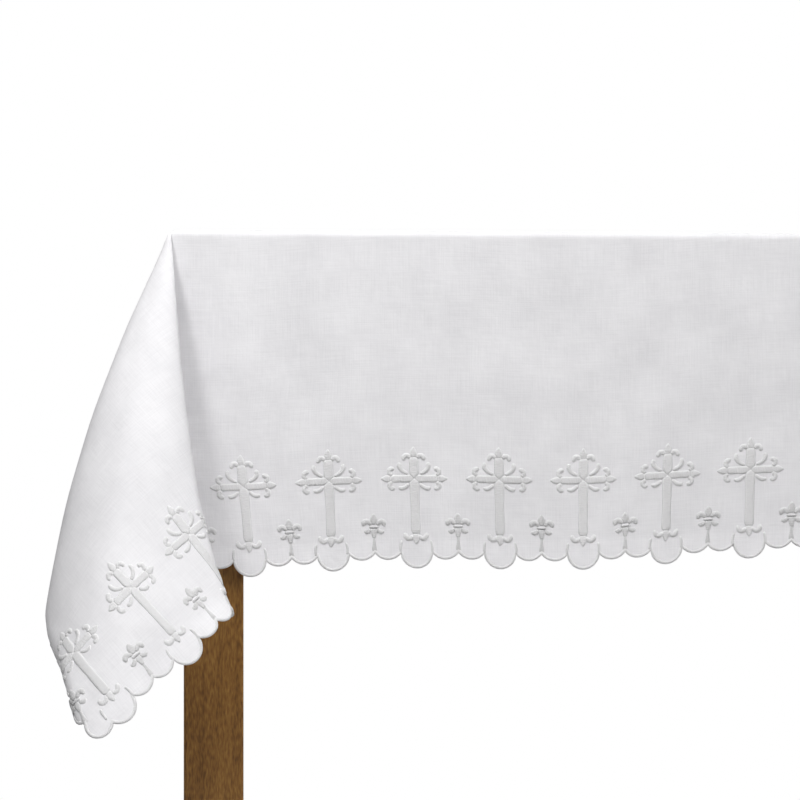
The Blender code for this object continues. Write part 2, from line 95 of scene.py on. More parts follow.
# Angles round a table corner in the flat cloth: 0 runs along the front edge of the table, 90 is
# straight down the front, 180 straight down the end, 270 along the end edge of the table
FRONT_FLAT_UNTIL = math.radians(62.0)
END_FLAT_FROM = math.radians(208.0)
CREST_ANGLE = math.radians(121.5)
NEAR_RADIUS = 0.0
MID_RADIUS = 0.22
FAR_RADIUS = 0.54
LAST_RADIUS = 0.48
SECTION_STEP = 0.04
SECTION_SAMPLES = 147
DEEPEST_SEARCH = 0.5
SEARCH_ROUNDS = 36
INSIDE_LAST_CELL = 1.001

# Hem that rolls under beside each corner of the cloth, on the end side of the fold
ROLL_WIDTH = 0.053
ROLL_RADIUS = 0.036
ROLL_STARTS = math.radians(139.0)
ROLL_FULL = math.radians(148.5)
ROLL_FADES = math.radians(164.0)
ROLL_ENDS = math.radians(175.0)
PROBE_ANGLE = 0.01


class FoldRow(NamedTuple):
    """A point of the fold's section, on a level one unit below the corner of the table.

    inward runs along the front toward the middle of the table, back runs toward its rear, and
    both are given close to the corner, half way down and at the hem.
    """

    name: str
    near_inward: float
    near_back: float
    mid_inward: float
    mid_back: float
    far_inward: float
    far_back: float


FRONT_SIDE_OF_FOLD = (
    FoldRow("front_panel", 0.53, 0.0, 0.53, 0.0, 0.53, 0.0),
    FoldRow("front_behind_fold", 0.25, 0.005, 0.25, 0.01, 0.24, 0.01),
    FoldRow("front_trough", -0.05, -0.03, -0.06, -0.03, -0.09, -0.04),
    FoldRow("fold_side", 0.03, -0.21, 0.01, -0.15, 0.10, -0.17),
    FoldRow("crest", 0.11, -0.34, 0.09, -0.27, 0.215, -0.325),
)
END_SIDE_OF_FOLD = (
    FoldRow("crest", 0.11, -0.34, 0.09, -0.27, 0.215, -0.325),
    FoldRow("turn", 0.02, -0.40, 0.03, -0.34, 0.115, -0.38),
    FoldRow("face", -0.16, -0.38, -0.085, -0.37, -0.095, -0.405),
    FoldRow("cloth_corner", -0.32, -0.28, -0.23, -0.34, -0.245, -0.325),
    FoldRow("shoulder", -0.48, -0.12, -0.40, -0.19, -0.297, -0.17),
    FoldRow("outer_edge", -0.46, 0.03, -0.41, -0.01, -0.262, -0.02),
    FoldRow("behind", -0.26, 0.15, -0.27, 0.10, -0.21, 0.13),
    FoldRow("end_trough", -0.03, 0.24, -0.04, 0.14, -0.03, 0.11),
    FoldRow("end_panel_start", 0.0, 0.38, 0.0, 0.36, 0.0, 0.35),
    FoldRow("end_panel", 0.0, 0.53, 0.0, 0.53, 0.0, 0.53),
)
FRONT_TROUGH = 2
BEHIND_FOLD = 6
END_TROUGH = 7
BEHIND_SHARE = 0.4
BEFORE_FRONT_PANEL = (0.9, 0.0)
AFTER_END_PANEL = (0.0, 0.8)


class CornerRow(NamedTuple):
    """A corner of the table: which way it faces, and how its fold hangs.

    outward and forward are how far the fold swings, roll is how much of its end hem rolls under.
    """

    name: str
    x_side: int
    y_side: int
    outward: float
    forward: float
    roll: float


CORNERS = (
    CornerRow("front_left", -1, -1, 1.0, 1.0, 1.0),
    CornerRow("front_right", 1, -1, 0.98, 1.03, 0.7),
    CornerRow("back_left", -1, 1, 0.99, 1.0, 0.6),
    CornerRow("back_right", 1, 1, 0.97, 0.98, 0.8),
)


class PlacementRow(NamedTuple):
    """How the cloth was laid, at a distance along the front from the table's left corner.

    lift is how far the cloth is drawn back over the top, lean how far the border tips sideways.
    """

    name: str
    along: float
    lift: float
    lean: float


PLACEMENT = (
    PlacementRow("end_hem", -0.50, 0.0, -0.055),
    PlacementRow("left_fold", -0.12, 0.0, -0.055),
    PlacementRow("corner", 0.0, -0.003, 0.05),
    PlacementRow("first_cross", 0.09, -0.003, 0.09),
    PlacementRow("rise", 0.22, 0.005, 0.055),
    PlacementRow("level", 0.34, 0.006, 0.025),
    PlacementRow("dip", 0.49, 0.0035, 0.0),
    PlacementRow("pull", 0.70, 0.016, -0.012),
    PlacementRow("middle", 0.90, 0.019, 0.0),
    PlacementRow("right", 1.20, 0.008, 0.0),
    PlacementRow("right_corner", 2 * HANG_X, 0.0, 0.0),
)
LEAN_PIVOT = 2.9 * PITCH
LEAN_START = 1.6 * PITCH


class CreaseRow(NamedTuple):
    """A soft ridge or trough in the flat cloth, from one end to the other.

    height is how far it stands out, below zero for a trough, and half_width is how wide it spreads.
    """

    name: str
    start_x: float
    start_y: float
    end_x: float
    end_y: float
    half_width: float
    height: float


FRONT_EDGE_Y = -HANG_Y
FRONT_HEM_Y = -CLOTH_WIDTH / 2
CREASES = (
    CreaseRow("left_fold_face", -0.93, -0.46, -1.1176, FRONT_HEM_Y, 0.036, -0.0065),
    CreaseRow("beside_left_fold", -0.71, FRONT_EDGE_Y, -0.60, FRONT_HEM_Y, 0.030, 0.0012),
    CreaseRow("left_of_middle", -0.37, -0.36, -0.40, FRONT_HEM_Y, 0.035, 0.0010),
    CreaseRow("middle_swell", -0.16, -0.40, -0.20, FRONT_HEM_Y, 0.045, 0.0014),
    CreaseRow("middle_hollow", -0.05, -0.33, -0.06, FRONT_HEM_Y, 0.040, -0.0012),
    CreaseRow("right_swell", 0.17, -0.36, 0.19, FRONT_HEM_Y, 0.050, 0.0016),
    CreaseRow("right_hollow", 0.36, -0.33, 0.34, FRONT_HEM_Y, 0.045, -0.0014),
    CreaseRow("far_swell", 0.55, -0.34, 0.53, FRONT_HEM_Y, 0.045, 0.0012),
)


class WaveRow(NamedTuple):
    """One of the slight waves that leave the hanging cloth uneven."""

    name: str
    length_x: float
    length_y: float
    shift: float
    height: float


WAVES = (
    WaveRow("long", 0.43, 0.61, 0.4, 0.00050),
    WaveRow("leaning", 0.21, -0.33, 1.9, 0.00032),
    WaveRow("crossing", 0.13, 0.19, 2.7, 0.00016),
    WaveRow("small", 0.071, -0.094, 0.9, 0.00006),
)
WAVE_START = 0.02
WAVE_FULL = 0.10


def smooth_step(values: FloatArray) -> FloatArray:
    """Return 0 below 0, 1 above 1 and a soft S between."""
    clipped = np.clip(values, 0.0, 1.0)
    return clipped * clipped * (3.0 - 2.0 * clipped)


def smooth_curve(points: FloatArray, before: FloatArray, after: FloatArray, samples: int = 24) -> FloatArray:
    """Sample a smooth curve through points.

    Args:
        points: the points, one a row.
        before: a neighbour that sets the slope at the start.
        after: a neighbour that sets the slope at the end.
        samples: how many places each stretch gets.

    Returns:
        The places along the curve, one a row.
    """
    chain = np.vstack([before, points, after])
    step = np.linspace(0.0, 1.0, samples, endpoint=False)[:, None]
    start_weight = 2 * step**3 - 3 * step**2 + 1
    start_slope_weight = step**3 - 2 * step**2 + step
    end_slope_weight = step**3 - step**2
    pieces = []
    for index in range(1, len(chain) - 2):
        start, end = chain[index], chain[index + 1]
        start_slope = (end - chain[index - 1]) / 2
        end_slope = (chain[index + 2] - start) / 2
        pieces.append(
            start_weight * start
            + start_slope_weight * start_slope
            + (1 - start_weight) * end
            + end_slope_weight * end_slope
        )
    pieces.append(chain[-2:-1])
    return np.vstack(pieces)


def unit_directions(level_points: FloatArray) -> FloatArray:
    """Turn points on the level below the corner into unit directions from the corner."""
    depth = np.full(len(level_points), -1.0)
    directions = np.column_stack([level_points[:, 0], level_points[:, 1], depth])
    return directions / np.linalg.norm(directions, axis=1)[:, None]


def swept_angle(directions: FloatArray) -> FloatArray:
    """Return the running angle along a chain of unit directions."""
    chords = np.linalg.norm(np.diff(directions, axis=0), axis=1)
    return np.concatenate([[0.0], np.cumsum(2 * np.arcsin(np.clip(chords / 2, 0.0, 1.0)))])


def deepen_until(build: Callable[[float], FloatArray], wanted_angle: float) -> FloatArray:
    """Find how deep a hidden trough has to be for the section to hold all of the cloth.

    Args:
        build: makes the chain of directions for a depth.
        wanted_angle: the angle that the flat cloth has there.

    Returns:
        The chain of directions that sweeps that angle.
    """
    lowest, highest = -DEEPEST_SEARCH / 2, DEEPEST_SEARCH
    for _ in range(SEARCH_ROUNDS):
        depth = (lowest + highest) / 2
        if swept_angle(build(depth))[-1] < wanted_angle:
            lowest = depth
        else:
            highest = depth
    return build((lowest + highest) / 2)


def section_points(rows: tuple[FoldRow, ...], radius: float, corner: CornerRow) -> FloatArray:
    """Read the rows of a fold at a distance from the corner of the table.

    Args:
        rows: the rows of one side of the fold.
        radius: the distance from the corner in the flat cloth.
        corner: the corner, whose fold swings out and forward its own way.

    Returns:
        Places inward and back on the level one unit below the corner.
    """
    near = (radius - MID_RADIUS) * (radius - FAR_RADIUS)
    near /= (NEAR_RADIUS - MID_RADIUS) * (NEAR_RADIUS - FAR_RADIUS)
    mid = (radius - NEAR_RADIUS) * (radius - FAR_RADIUS)
    mid /= (MID_RADIUS - NEAR_RADIUS) * (MID_RADIUS - FAR_RADIUS)
    far = 1.0 - near - mid
    points = []
    for row in rows:
        inward = near * row.near_inward + mid * row.mid_inward + far * row.far_inward
        back = near * row.near_back + mid * row.mid_back + far * row.far_back
        if inward < 0.0:
            inward *= corner.outward
        if back < 0.0:
            back *= corner.forward
        points.append((inward, back))
    return np.array(points)


def fold_section(radius: float, corner: CornerRow) -> FloatArray:
    """Return evenly spread directions from the flat front panel round the fold to the end panel."""
    radius = min(radius, LAST_RADIUS)
    front = section_points(FRONT_SIDE_OF_FOLD, radius, corner)
    end = section_points(END_SIDE_OF_FOLD, radius, corner)

    def front_half(depth: float) -> FloatArray:
        """Return the half toward the front with its trough deepened."""
        points = front.copy()
        points[FRONT_TROUGH, 0] -= depth
        return unit_directions(smooth_curve(points, BEFORE_FRONT_PANEL, end[1]))

    def end_half(depth: float) -> FloatArray:
        """Return the half toward the end with its trough deepened."""
        points = end.copy()
        points[END_TROUGH, 1] -= depth
        points[BEHIND_FOLD, 1] -= BEHIND_SHARE * depth
        return unit_directions(smooth_curve(points, front[-2], AFTER_END_PANEL))

    front_directions = deepen_until(front_half, CREST_ANGLE - FRONT_FLAT_UNTIL)
    end_directions = deepen_until(end_half, END_FLAT_FROM - CREST_ANGLE)
    directions = np.vstack([front_directions[:-1], end_directions])
    angles = swept_angle(directions)
    even = np.linspace(0.0, angles[-1], SECTION_SAMPLES)
    return np.column_stack([np.interp(even, angles, directions[:, axis]) for axis in range(3)])


def edge_bend(past_edge: FloatArray) -> tuple[FloatArray, FloatArray]:
    """Return how far the rounded edge lies inside and below the sharp one."""
    turn = (np.clip(past_edge / EDGE_BEND, -1.0, 1.0) + 1) * math.pi / 4
    held = np.clip(past_edge, -EDGE_BEND, EDGE_BEND)
    inside = EDGE_BEND - EDGE_BEND * np.sin(turn) + np.minimum(held, 0.0)
    below = EDGE_BEND - EDGE_BEND * np.cos(turn) - np.maximum(held, 0.0)
    return inside, below


def edge_loft(inward: FloatArray, past_front: FloatArray) -> FloatArray:
    """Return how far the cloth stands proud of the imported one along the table's edges.

    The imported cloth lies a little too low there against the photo.

    Args:
        inward: distance from the corner toward the middle of the table.
        past_front: distance past the front edge of the table.

    Returns:
        The rise at each place.
    """
    outside = np.hypot(np.maximum(past_front, 0.0), np.maximum(-inward, 0.0))
    inside = np.minimum(np.maximum(past_front, -inward), 0.0)
    return EDGE_LOFT * np.exp(-((outside / LOFT_BELOW) ** 2) - (inside / LOFT_ON_TOP) ** 2)


@dataclass
class CornerFold:
    """The fold at one corner: directions from the corner by distance and by flat angle."""

    corner: CornerRow
    sections: FloatArray = field(init=False)

    def __post_init__(self) -> None:
        """Work out the sections at even distances from the corner."""
        count = math.ceil(math.hypot(END_DROP, FRONT_DROP) / SECTION_STEP) + 2
        self.sections = np.array([fold_section(row * SECTION_STEP, self.corner) for row in range(count)])

    def direction(self, radius: FloatArray, angle: FloatArray) -> FloatArray:
        """Return unit directions for flat polar places round the corner."""
        directions = np.zeros((len(radius), 3))
        front = angle <= FRONT_FLAT_UNTIL
        directions[front, 0] = np.cos(angle[front])
        directions[front, 2] = -np.sin(angle[front])
        end = angle >= END_FLAT_FROM
        directions[end, 1] = -np.sin(angle[end])
        directions[end, 2] = np.cos(angle[end])
        free = ~(front | end)
        row = np.clip(radius[free] / SECTION_STEP, 0.0, len(self.sections) - INSIDE_LAST_CELL)
        span = END_FLAT_FROM - FRONT_FLAT_UNTIL
        column = (angle[free] - FRONT_FLAT_UNTIL) / span * (SECTION_SAMPLES - 1)
        column = np.clip(column, 0.0, SECTION_SAMPLES - INSIDE_LAST_CELL)
        low_row, low_column = row.astype(int), column.astype(int)
        row_share = (row - low_row)[:, None]
        column_share = (column - low_column)[:, None]
        mixed = np.zeros((len(row), 3))
        for next_row, weight in ((0, 1 - row_share), (1, row_share)):
            near = self.sections[low_row + next_row, low_column] * (1 - column_share)
            far = self.sections[low_row + next_row, low_column + 1] * column_share
            mixed += (near + far) * weight
        directions[free] = mixed / np.linalg.norm(mixed, axis=1)[:, None]
        return directions

    def roll_under(self, radius: FloatArray, angle: FloatArray) -> FloatArray:
        """Return how far the rolled hem moves each place, along its own line and toward the inside."""
        rise = smooth_step((angle - ROLL_STARTS) / (ROLL_FULL - ROLL_STARTS))
        fall = smooth_step((angle - ROLL_FADES) / (ROLL_ENDS - ROLL_FADES))
        width = ROLL_WIDTH * self.corner.roll * rise * (1.0 - fall)
        rolls = width > 0.0
        moves = np.zeros((len(radius), 3))
        hem = END_DROP / -np.cos(angle[rolls])
        past_line = np.maximum(radius[rolls] - hem + width[rolls], 0.0)
        along = self.direction(radius[rolls], angle[rolls])
        beside = self.direction(radius[rolls], angle[rolls] + PROBE_ANGLE) - along
        inside = np.cross(along, beside)
        inside /= np.linalg.norm(inside, axis=1)[:, None]
        turn = past_line / ROLL_RADIUS
        moves[rolls] = (ROLL_RADIUS * np.sin(turn) - past_line)[:, None] * along
        moves[rolls] += (ROLL_RADIUS * (1.0 - np.cos(turn)))[:, None] * inside
        return moves

    def places(self, inward: FloatArray, past_front: FloatArray) -> FloatArray:
        """Drape flat places round the corner.

        Args:
            inward: distance from the corner toward the middle of the table.
            past_front: distance past the front edge of the table.

        Returns:
            Distances inward, backward and up from the corner, one place a row.
        """
        radius = np.hypot(inward, past_front)
        angle = np.mod(np.arctan2(past_front, inward), 2 * math.pi)
        places = radius[:, None] * self.direction(radius, np.minimum(angle, 1.5 * math.pi))
        places += self.roll_under(radius, angle)
        on_top = (inward >= 0.0) & (past_front <= 0.0)
        places[on_top] = np.column_stack([inward, -past_front, np.zeros(len(inward))])[on_top]
        front_inside, front_below = edge_bend(past_front)
        end_inside, end_below = edge_bend(-inward)
        front_share = 1.0 - smooth_step(-inward / (2 * EDGE_BEND))
        end_share = 1.0 - smooth_step(past_front / (2 * EDGE_BEND))
        places[:, 0] += end_inside * end_share
        places[:, 1] += front_inside * front_share
        front_below = front_below * front_share
        end_below = end_below * end_share
        places[:, 2] -= front_below + end_below - CORNER_SHARE * np.minimum(front_below, end_below)
        places[:, 2] += edge_loft(inward, past_front)
        return places


@dataclass
class Drape:
    """Carries places of the flat cloth to where they hang in the room."""

    probe_step: float = 0.0008
    folds: dict[str, CornerFold] = field(init=False)
    placement: FloatArray = field(init=False)
    back_share: float = 0.1
    share_fades_from: float = 0.8

    def __post_init__(self) -> None:
        """Work out the fold at each corner and how the cloth was laid."""
        self.folds = {corner.name: CornerFold(corner) for corner in CORNERS}
        rows = np.array([(row.along, row.lift, row.lean) for row in PLACEMENT])
        self.placement = smooth_curve(rows, 2 * rows[0] - rows[1], 2 * rows[-1] - rows[-2])

    def placement_at(self, x: FloatArray) -> tuple[FloatArray, FloatArray]:
        """Return the lift and the lean of the cloth at places along the table."""
        from_corner = x + HANG_X
        lift = np.interp(from_corner, self.placement[:, 0], self.placement[:, 1])
        lean = np.interp(from_corner, self.placement[:, 0], self.placement[:, 2])
        return lift, lean

    def front_share(self, y: FloatArray) -> FloatArray:
        """Return how much of the lift a place takes: all at the front, little at the back."""
        fade = smooth_step((y / HANG_Y + self.share_fades_from) / (2 * self.share_fades_from))
        return 1.0 - (1.0 - self.back_share) * fade

    def lay_on_table(self, flat: FloatArray) -> FloatArray:
        """Move flat places to where the cloth was laid: drawn back unevenly, the border leaning."""
        lift, lean = self.placement_at(flat[:, 0])
        laid_y = flat[:, 1] + lift * self.front_share(flat[:, 1])
        drop = -HANG_Y - laid_y
        ramp = smooth_step((drop - LEAN_START) / PITCH)
        laid_x = flat[:, 0] + lean * ramp * (drop - LEAN_PIVOT)
        return np.column_stack([laid_x, laid_y])

    def take_off_table(self, laid: FloatArray) -> FloatArray:
        """Return the flat places of the cloth that lie at places over the table or near its edges."""
        lift, _ = self.placement_at(laid[:, 0])
        return np.column_stack([laid[:, 0], laid[:, 1] - lift * self.front_share(laid[:, 1])])

    def smooth_places(self, flat: FloatArray) -> FloatArray:
        """Map flat cloth places, centred on the cloth, to places in the room."""
        laid = self.lay_on_table(flat)
        room = np.zeros((len(flat), 3))
        for corner in CORNERS:
            nearest_x = laid[:, 0] > 0 if corner.x_side > 0 else laid[:, 0] <= 0
            nearest_y = laid[:, 1] > 0 if corner.y_side > 0 else laid[:, 1] <= 0
            nearest = nearest_x & nearest_y
            inward = HANG_X - laid[nearest, 0] * corner.x_side
            past_front = laid[nearest, 1] * corner.y_side - HANG_Y
            places = self.folds[corner.name].places(inward, past_front)
            room[nearest, 0] = corner.x_side * (HANG_X - places[:, 0])
            room[nearest, 1] = corner.y_side * (HANG_Y - places[:, 1])
            room[nearest, 2] = CLOTH_PLANE + places[:, 2]
        return room

    def relief(self, flat: FloatArray) -> FloatArray:
        """Return how far the creases and the slight waves stand off the smooth folds."""
        past = np.maximum(np.abs(flat[:, 0]) - HANG_X, np.abs(flat[:, 1]) - HANG_Y)
        fade = smooth_step((past - WAVE_START) / (WAVE_FULL - WAVE_START))
        height = np.zeros(len(flat))
        for wave in WAVES:
            phase = flat[:, 0] / wave.length_x + flat[:, 1] / wave.length_y
            height += wave.height * np.sin(2 * math.pi * phase + wave.shift)
        for crease in CREASES:
            start = np.array([crease.start_x, crease.start_y])
            line = np.array([crease.end_x, crease.end_y]) - start
            share = np.clip((flat - start) @ line / (line @ line), 0.0, 1.0)
            distance = np.linalg.norm(flat - start - share[:, None] * line, axis=1)
            height += crease.height * smooth_step(2 * share) * np.exp(-((distance / crease.half_width) ** 2))
        return fade * height

    def surface(self, flat: FloatArray) -> tuple[FloatArray, FloatArray]:
        """Return places in the middle of the cloth's thickness and the outward normals there."""
        places = self.smooth_places(flat)
        along = self.smooth_places(flat + np.array([self.probe_step, 0.0])) - places
        across = self.smooth_places(flat + np.array([0.0, self.probe_step])) - places
        normals = np.cross(along, across)
        normals /= np.linalg.norm(normals, axis=1)[:, None]
        return places + self.relief(flat)[:, None] * normals, normals

    def raised(self, flat: FloatArray, height: FloatArray) -> FloatArray:
        """Return places at heights above the middle of the cloth's thickness."""
        places, normals = self.surface(flat)
        return places + height[:, None] * normals


class Lobe(NamedTuple):
    """A round lobe of the hem, in flat cloth coordinates."""

    x: float
    y: float
    radius: float


class HemSide(NamedTuple):
    """One side of the flat cloth: where it starts, which way it runs and its repeats."""

    name: str
    start_x: float
    start_y: float
    along_x: int
    along_y: int
    repeats: int


HEM_SIDES = (
    HemSide("front", -CLOTH_LENGTH / 2, -CLOTH_WIDTH / 2, 1, 0, REPEATS_LONG),
    HemSide("right", CLOTH_LENGTH / 2, -CLOTH_WIDTH / 2, 0, 1, REPEATS_WIDE),
    HemSide("back", CLOTH_LENGTH / 2, CLOTH_WIDTH / 2, -1, 0, REPEATS_LONG),
    HemSide("left", -CLOTH_LENGTH / 2, CLOTH_WIDTH / 2, 0, -1, REPEATS_WIDE),
)


@dataclass
class ScallopedHem:
    """The outline of the flat cloth, one anticlockwise loop of round lobes."""

    arc_step: float = 0.0030
    fewest_steps: int = 4
    lobes: list[Lobe] = field(init=False)

    def __post_init__(self) -> None:
        """Set out the lobes of all four sides."""
        self.lobes = []
        for side in HEM_SIDES:
            inset = CORNER_LOBE_INSET
            corner = self.on_side(side, inset, inset)
            self.lobes.append(Lobe(corner[0], corner[1], CORNER_LOBE_RADIUS))
            for along, up, radius in self.side_lobes(side.repeats):
                x, y = self.on_side(side, along, up)
                self.lobes.append(Lobe(x, y, radius))

    @staticmethod
    def on_side(side: HemSide, along: float, up: float) -> tuple[float, float]:
        """Return the flat place that lies along a side and up from its lowest line."""
        x = side.start_x + side.along_x * along - side.along_y * up
        y = side.start_y + side.along_y * along + side.along_x * up
        return x, y

    @staticmethod
    def side_lobes(repeats: int) -> list[Triple]:
        """Return the lobes of one side: along it, up from its lowest line, and radius."""
        height = SMALL_SCALLOP_RISE + SMALL_SCALLOP_RADIUS
        lobes = []
        for repeat in range(repeats):
            middle = (repeat + 0.5) * PITCH
            if repeat > 0:
                lobes.append((middle - SMALL_SCALLOP_OFFSET, height, SMALL_SCALLOP_RADIUS))
            lobes.append((middle, BIG_SCALLOP_RADIUS, BIG_SCALLOP_RADIUS))
            if repeat < repeats - 1:
                lobes.append((middle + SMALL_SCALLOP_OFFSET, height, SMALL_SCALLOP_RADIUS))
        return lobes

    @staticmethod
    def outer_crossing(first: Lobe, second: Lobe) -> Vector:
        """Return where two neighbouring lobes meet on the outer side of the hem."""
        between = Vector((second.x - first.x, second.y - first.y))
        distance = between.length
        reach = (distance**2 + first.radius**2 - second.radius**2) / (2 * distance)
        height = math.sqrt(first.radius**2 - reach**2)
        forward = between / distance
        outward = Vector((forward.y, -forward.x))
        return Vector((first.x, first.y)) + reach * forward + height * outward

    def outline(self) -> FloatArray:
        """Return the outline as places along its arcs, one a row."""
        points = []
        for index, lobe in enumerate(self.lobes):
            start = self.outer_crossing(self.lobes[index - 1], lobe)
            end = self.outer_crossing(lobe, self.lobes[(index + 1) % len(self.lobes)])
            start_angle = math.atan2(start.y - lobe.y, start.x - lobe.x)
            sweep = (math.atan2(end.y - lobe.y, end.x - lobe.x) - start_angle) % (2 * math.pi)
            steps = max(self.fewest_steps, round(sweep * lobe.radius / self.arc_step))
            for step in range(steps):
                angle = start_angle + sweep * step / steps
                x = lobe.x + lobe.radius * math.cos(angle)
                y = lobe.y + lobe.radius * math.sin(angle)
                points.append((x, y))
        return np.array(points)


@dataclass
class NodeKit:
    """Adds and joins the nodes of one surface."""

    name: str
    surface: Material = field(init=False)

    def __post_init__(self) -> None:
        """Start a surface that holds only its shader."""
        self.surface = bpy.data.materials.new(self.name)
        self.surface.use_nodes = True

    @property
    def shader(self) -> bpy.types.Node:
        """Return the surface's shader."""
        return self.surface.node_tree.nodes["Principled BSDF"]

    def node(self, kind: str, **settings: object) -> bpy.types.Node:
        """Add a node and set its properties."""
        node = self.surface.node_tree.nodes.new(kind)
        for key, value in settings.items():
            setattr(node, key, value)
        return node

    def join(self, source: Socket, target: Socket) -> None:
        """Link an output to an input."""
        self.surface.node_tree.links.new(source, target)

    def put(self, value: object, socket: Socket) -> None:
        """Give an input a number, or link it to an output."""
        if isinstance(value, Socket):
            self.join(value, socket)
        else:
            socket.default_value = value

    def math(self, operation: str, first: object, second: object = 0.0) -> Socket:
        """Return one calculation on numbers or outputs."""
        node = self.node("ShaderNodeMath", operation=operation)
        self.put(first, node.inputs[0])
        self.put(second, node.inputs[1])
        return node.outputs[0]

    def weighted(self, first: Socket, second: Socket, weights: tuple[float, float]) -> Socket:
        """Return the sum of two outputs, each times its weight."""
        parts = [self.math("MULTIPLY", *weighed) for weighed in zip((first, second), weights)]
        return self.math("ADD", *parts)

    def coordinates(self, output: str, scale: Triple) -> Socket:
        """Return Object or UV coordinates, scaled."""
        source = self.node("ShaderNodeTexCoord")
        mapping = self.node("ShaderNodeMapping")
        mapping.inputs["Scale"].default_value = scale
        self.join(source.outputs[output], mapping.inputs["Vector"])
        return mapping.outputs["Vector"]

    def along_and_across(self) -> tuple[Socket, Socket]:
        """Return how far a place lies along and across the flat cloth or the stroke."""
        parts = self.node("ShaderNodeSeparateXYZ")
        self.join(self.coordinates("UV", (1.0, 1.0, 1.0)), parts.inputs[0])
        return parts.outputs[0], parts.outputs[1]

    def ridges(self, where: Socket, turns: float) -> Socket:
        """Return a wave that turns by so much in a metre."""
        return self.math("SINE", self.math("MULTIPLY", where, turns))

    def point_value(self, name: str) -> Socket:
        """Return a number that the mesh holds at its places."""
        return self.node("ShaderNodeAttribute", attribute_name=name).outputs["Fac"]

    def times(self, colour: Socket, factor: Socket) -> Socket:
        """Return a colour times a number."""
        node = self.node("ShaderNodeVectorMath", operation="SCALE")
        self.join(colour, node.inputs[0])
        self.join(factor, node.inputs["Scale"])
        return node.outputs[0]

    def noise(self, output: str, scale: Triple, detail: float, rough: float = 0.5) -> Socket:
        """Return a noise from 0 to 1 on Object or UV coordinates."""
        node = self.node("ShaderNodeTexNoise")
        self.join(self.coordinates(output, scale), node.inputs["Vector"])
        node.inputs["Scale"].default_value = 1.0
        node.inputs["Detail"].default_value = detail
        node.inputs["Roughness"].default_value = rough
        return node.outputs["Fac"]

    def ramp(self, value: Socket, *stops: tuple[float, Colour]) -> Socket:
        """Return colours picked along a ramp of stops."""
        node = self.node("ShaderNodeValToRGB")
        elements = node.color_ramp.elements
        while len(elements) < len(stops):
            elements.new(0.5)
        for element, (place, colour) in zip(elements, stops):
            element.position = place
            element.color = colour
        self.join(value, node.inputs["Fac"])
        return node.outputs["Color"]

    def bump(self, height: Socket, size: tuple[float, float], before: Socket | None = None) -> Socket:
        """Return a normal pushed by a height, on top of another normal where one is given.

        Args:
            height: the height, from 0 to 1.
            size: how deep the bump is, and its strength.
            before: the normal under it.

        Returns:
            The pushed normal.
        """
        node = self.node("ShaderNodeBump")
        for socket, value in zip(("Distance", "Strength"), size):
            node.inputs[socket].default_value = value
        self.join(height, node.inputs["Height"])
        if before is not None:
            self.join(before, node.inputs["Normal"])
        return node.outputs["Normal"]

    def finished(self, colour: Socket, normal: Socket, roughness: float, gloss: float = 0.5) -> Material:
        """Give the shader its colour, normal and gloss, and return the surface."""
        self.join(colour, self.shader.inputs["Base Color"])
        self.join(normal, self.shader.inputs["Normal"])
        self.shader.inputs["Roughness"].default_value = roughness
        self.shader.inputs["Specular IOR Level"].default_value = gloss
        return self.surface


@dataclass(frozen=True)
class LinenFinish:
    """Plain-woven white linen, slightly uneven, with thicker threads here and there.

    Slubs, mottle and ripples are given by how many lie in a metre, bumps by depth and strength.
    The linen is painted lighter near its hem, a painted brightening where the hem catches more light; one
    share says by how much.
    """

    name: str = "white_linen_weave"
    thread: float = 0.00062
    roughness: float = 0.88
    gloss: float = 0.25
    painted_hem_light: float = 0.05
    deep: Colour = (0.780, 0.772, 0.790, 1.0)
    full: Colour = (0.890, 0.882, 0.898, 1.0)
    deep_until: float = 0.56
    full_from: float = 1.04
    slubs_along: float = 26.0
    slubs_across: float = 760.0
    mottle: Triple = (16.0, 16.0, 16.0)
    ripples: Triple = (30.0, 30.0, 30.0)
    slub_and_mottle: tuple[float, float] = (0.4, 0.8)
    weave_bump: tuple[float, float] = (0.00010, 0.1)
    slub_bump: tuple[float, float] = (0.00028, 0.35)
    ripple_bump: tuple[float, float] = (0.0016, 0.5)

    def build(self) -> Material:
        """Return the surface."""
        kit = NodeKit(self.name)
        warp, weft = (kit.ridges(where, math.pi / self.thread) for where in kit.along_and_across())
        weave = kit.math("MULTIPLY", warp, weft)
        long_slubs = kit.noise("UV", (self.slubs_along, self.slubs_across, 1.0), detail=2.0)
        wide_slubs = kit.noise("UV", (self.slubs_across, self.slubs_along, 1.0), detail=2.0)
        slubs = kit.math("ADD", long_slubs, wide_slubs)
        mottle = kit.noise("UV", self.mottle, detail=3.0, rough=0.55)
        shade = kit.weighted(slubs, mottle, self.slub_and_mottle)
        colour = kit.ramp(shade, (self.deep_until, self.deep), (self.full_from, self.full))
        # Painted highlight: the linen is drawn lighter near its hem
        hem_light_share = kit.math("MULTIPLY", kit.point_value(RIM_ATTRIBUTE), self.painted_hem_light)
        whiter = kit.times(colour, kit.math("ADD", hem_light_share, 1.0))
        woven = kit.bump(weave, self.weave_bump)
        uneven = kit.bump(slubs, self.slub_bump, woven)
        ripples = kit.noise("UV", self.ripples, detail=3.0, rough=0.6)
        rippled = kit.bump(ripples, self.ripple_bump, uneven)
        return kit.finished(whiter, rippled, self.roughness, self.gloss)


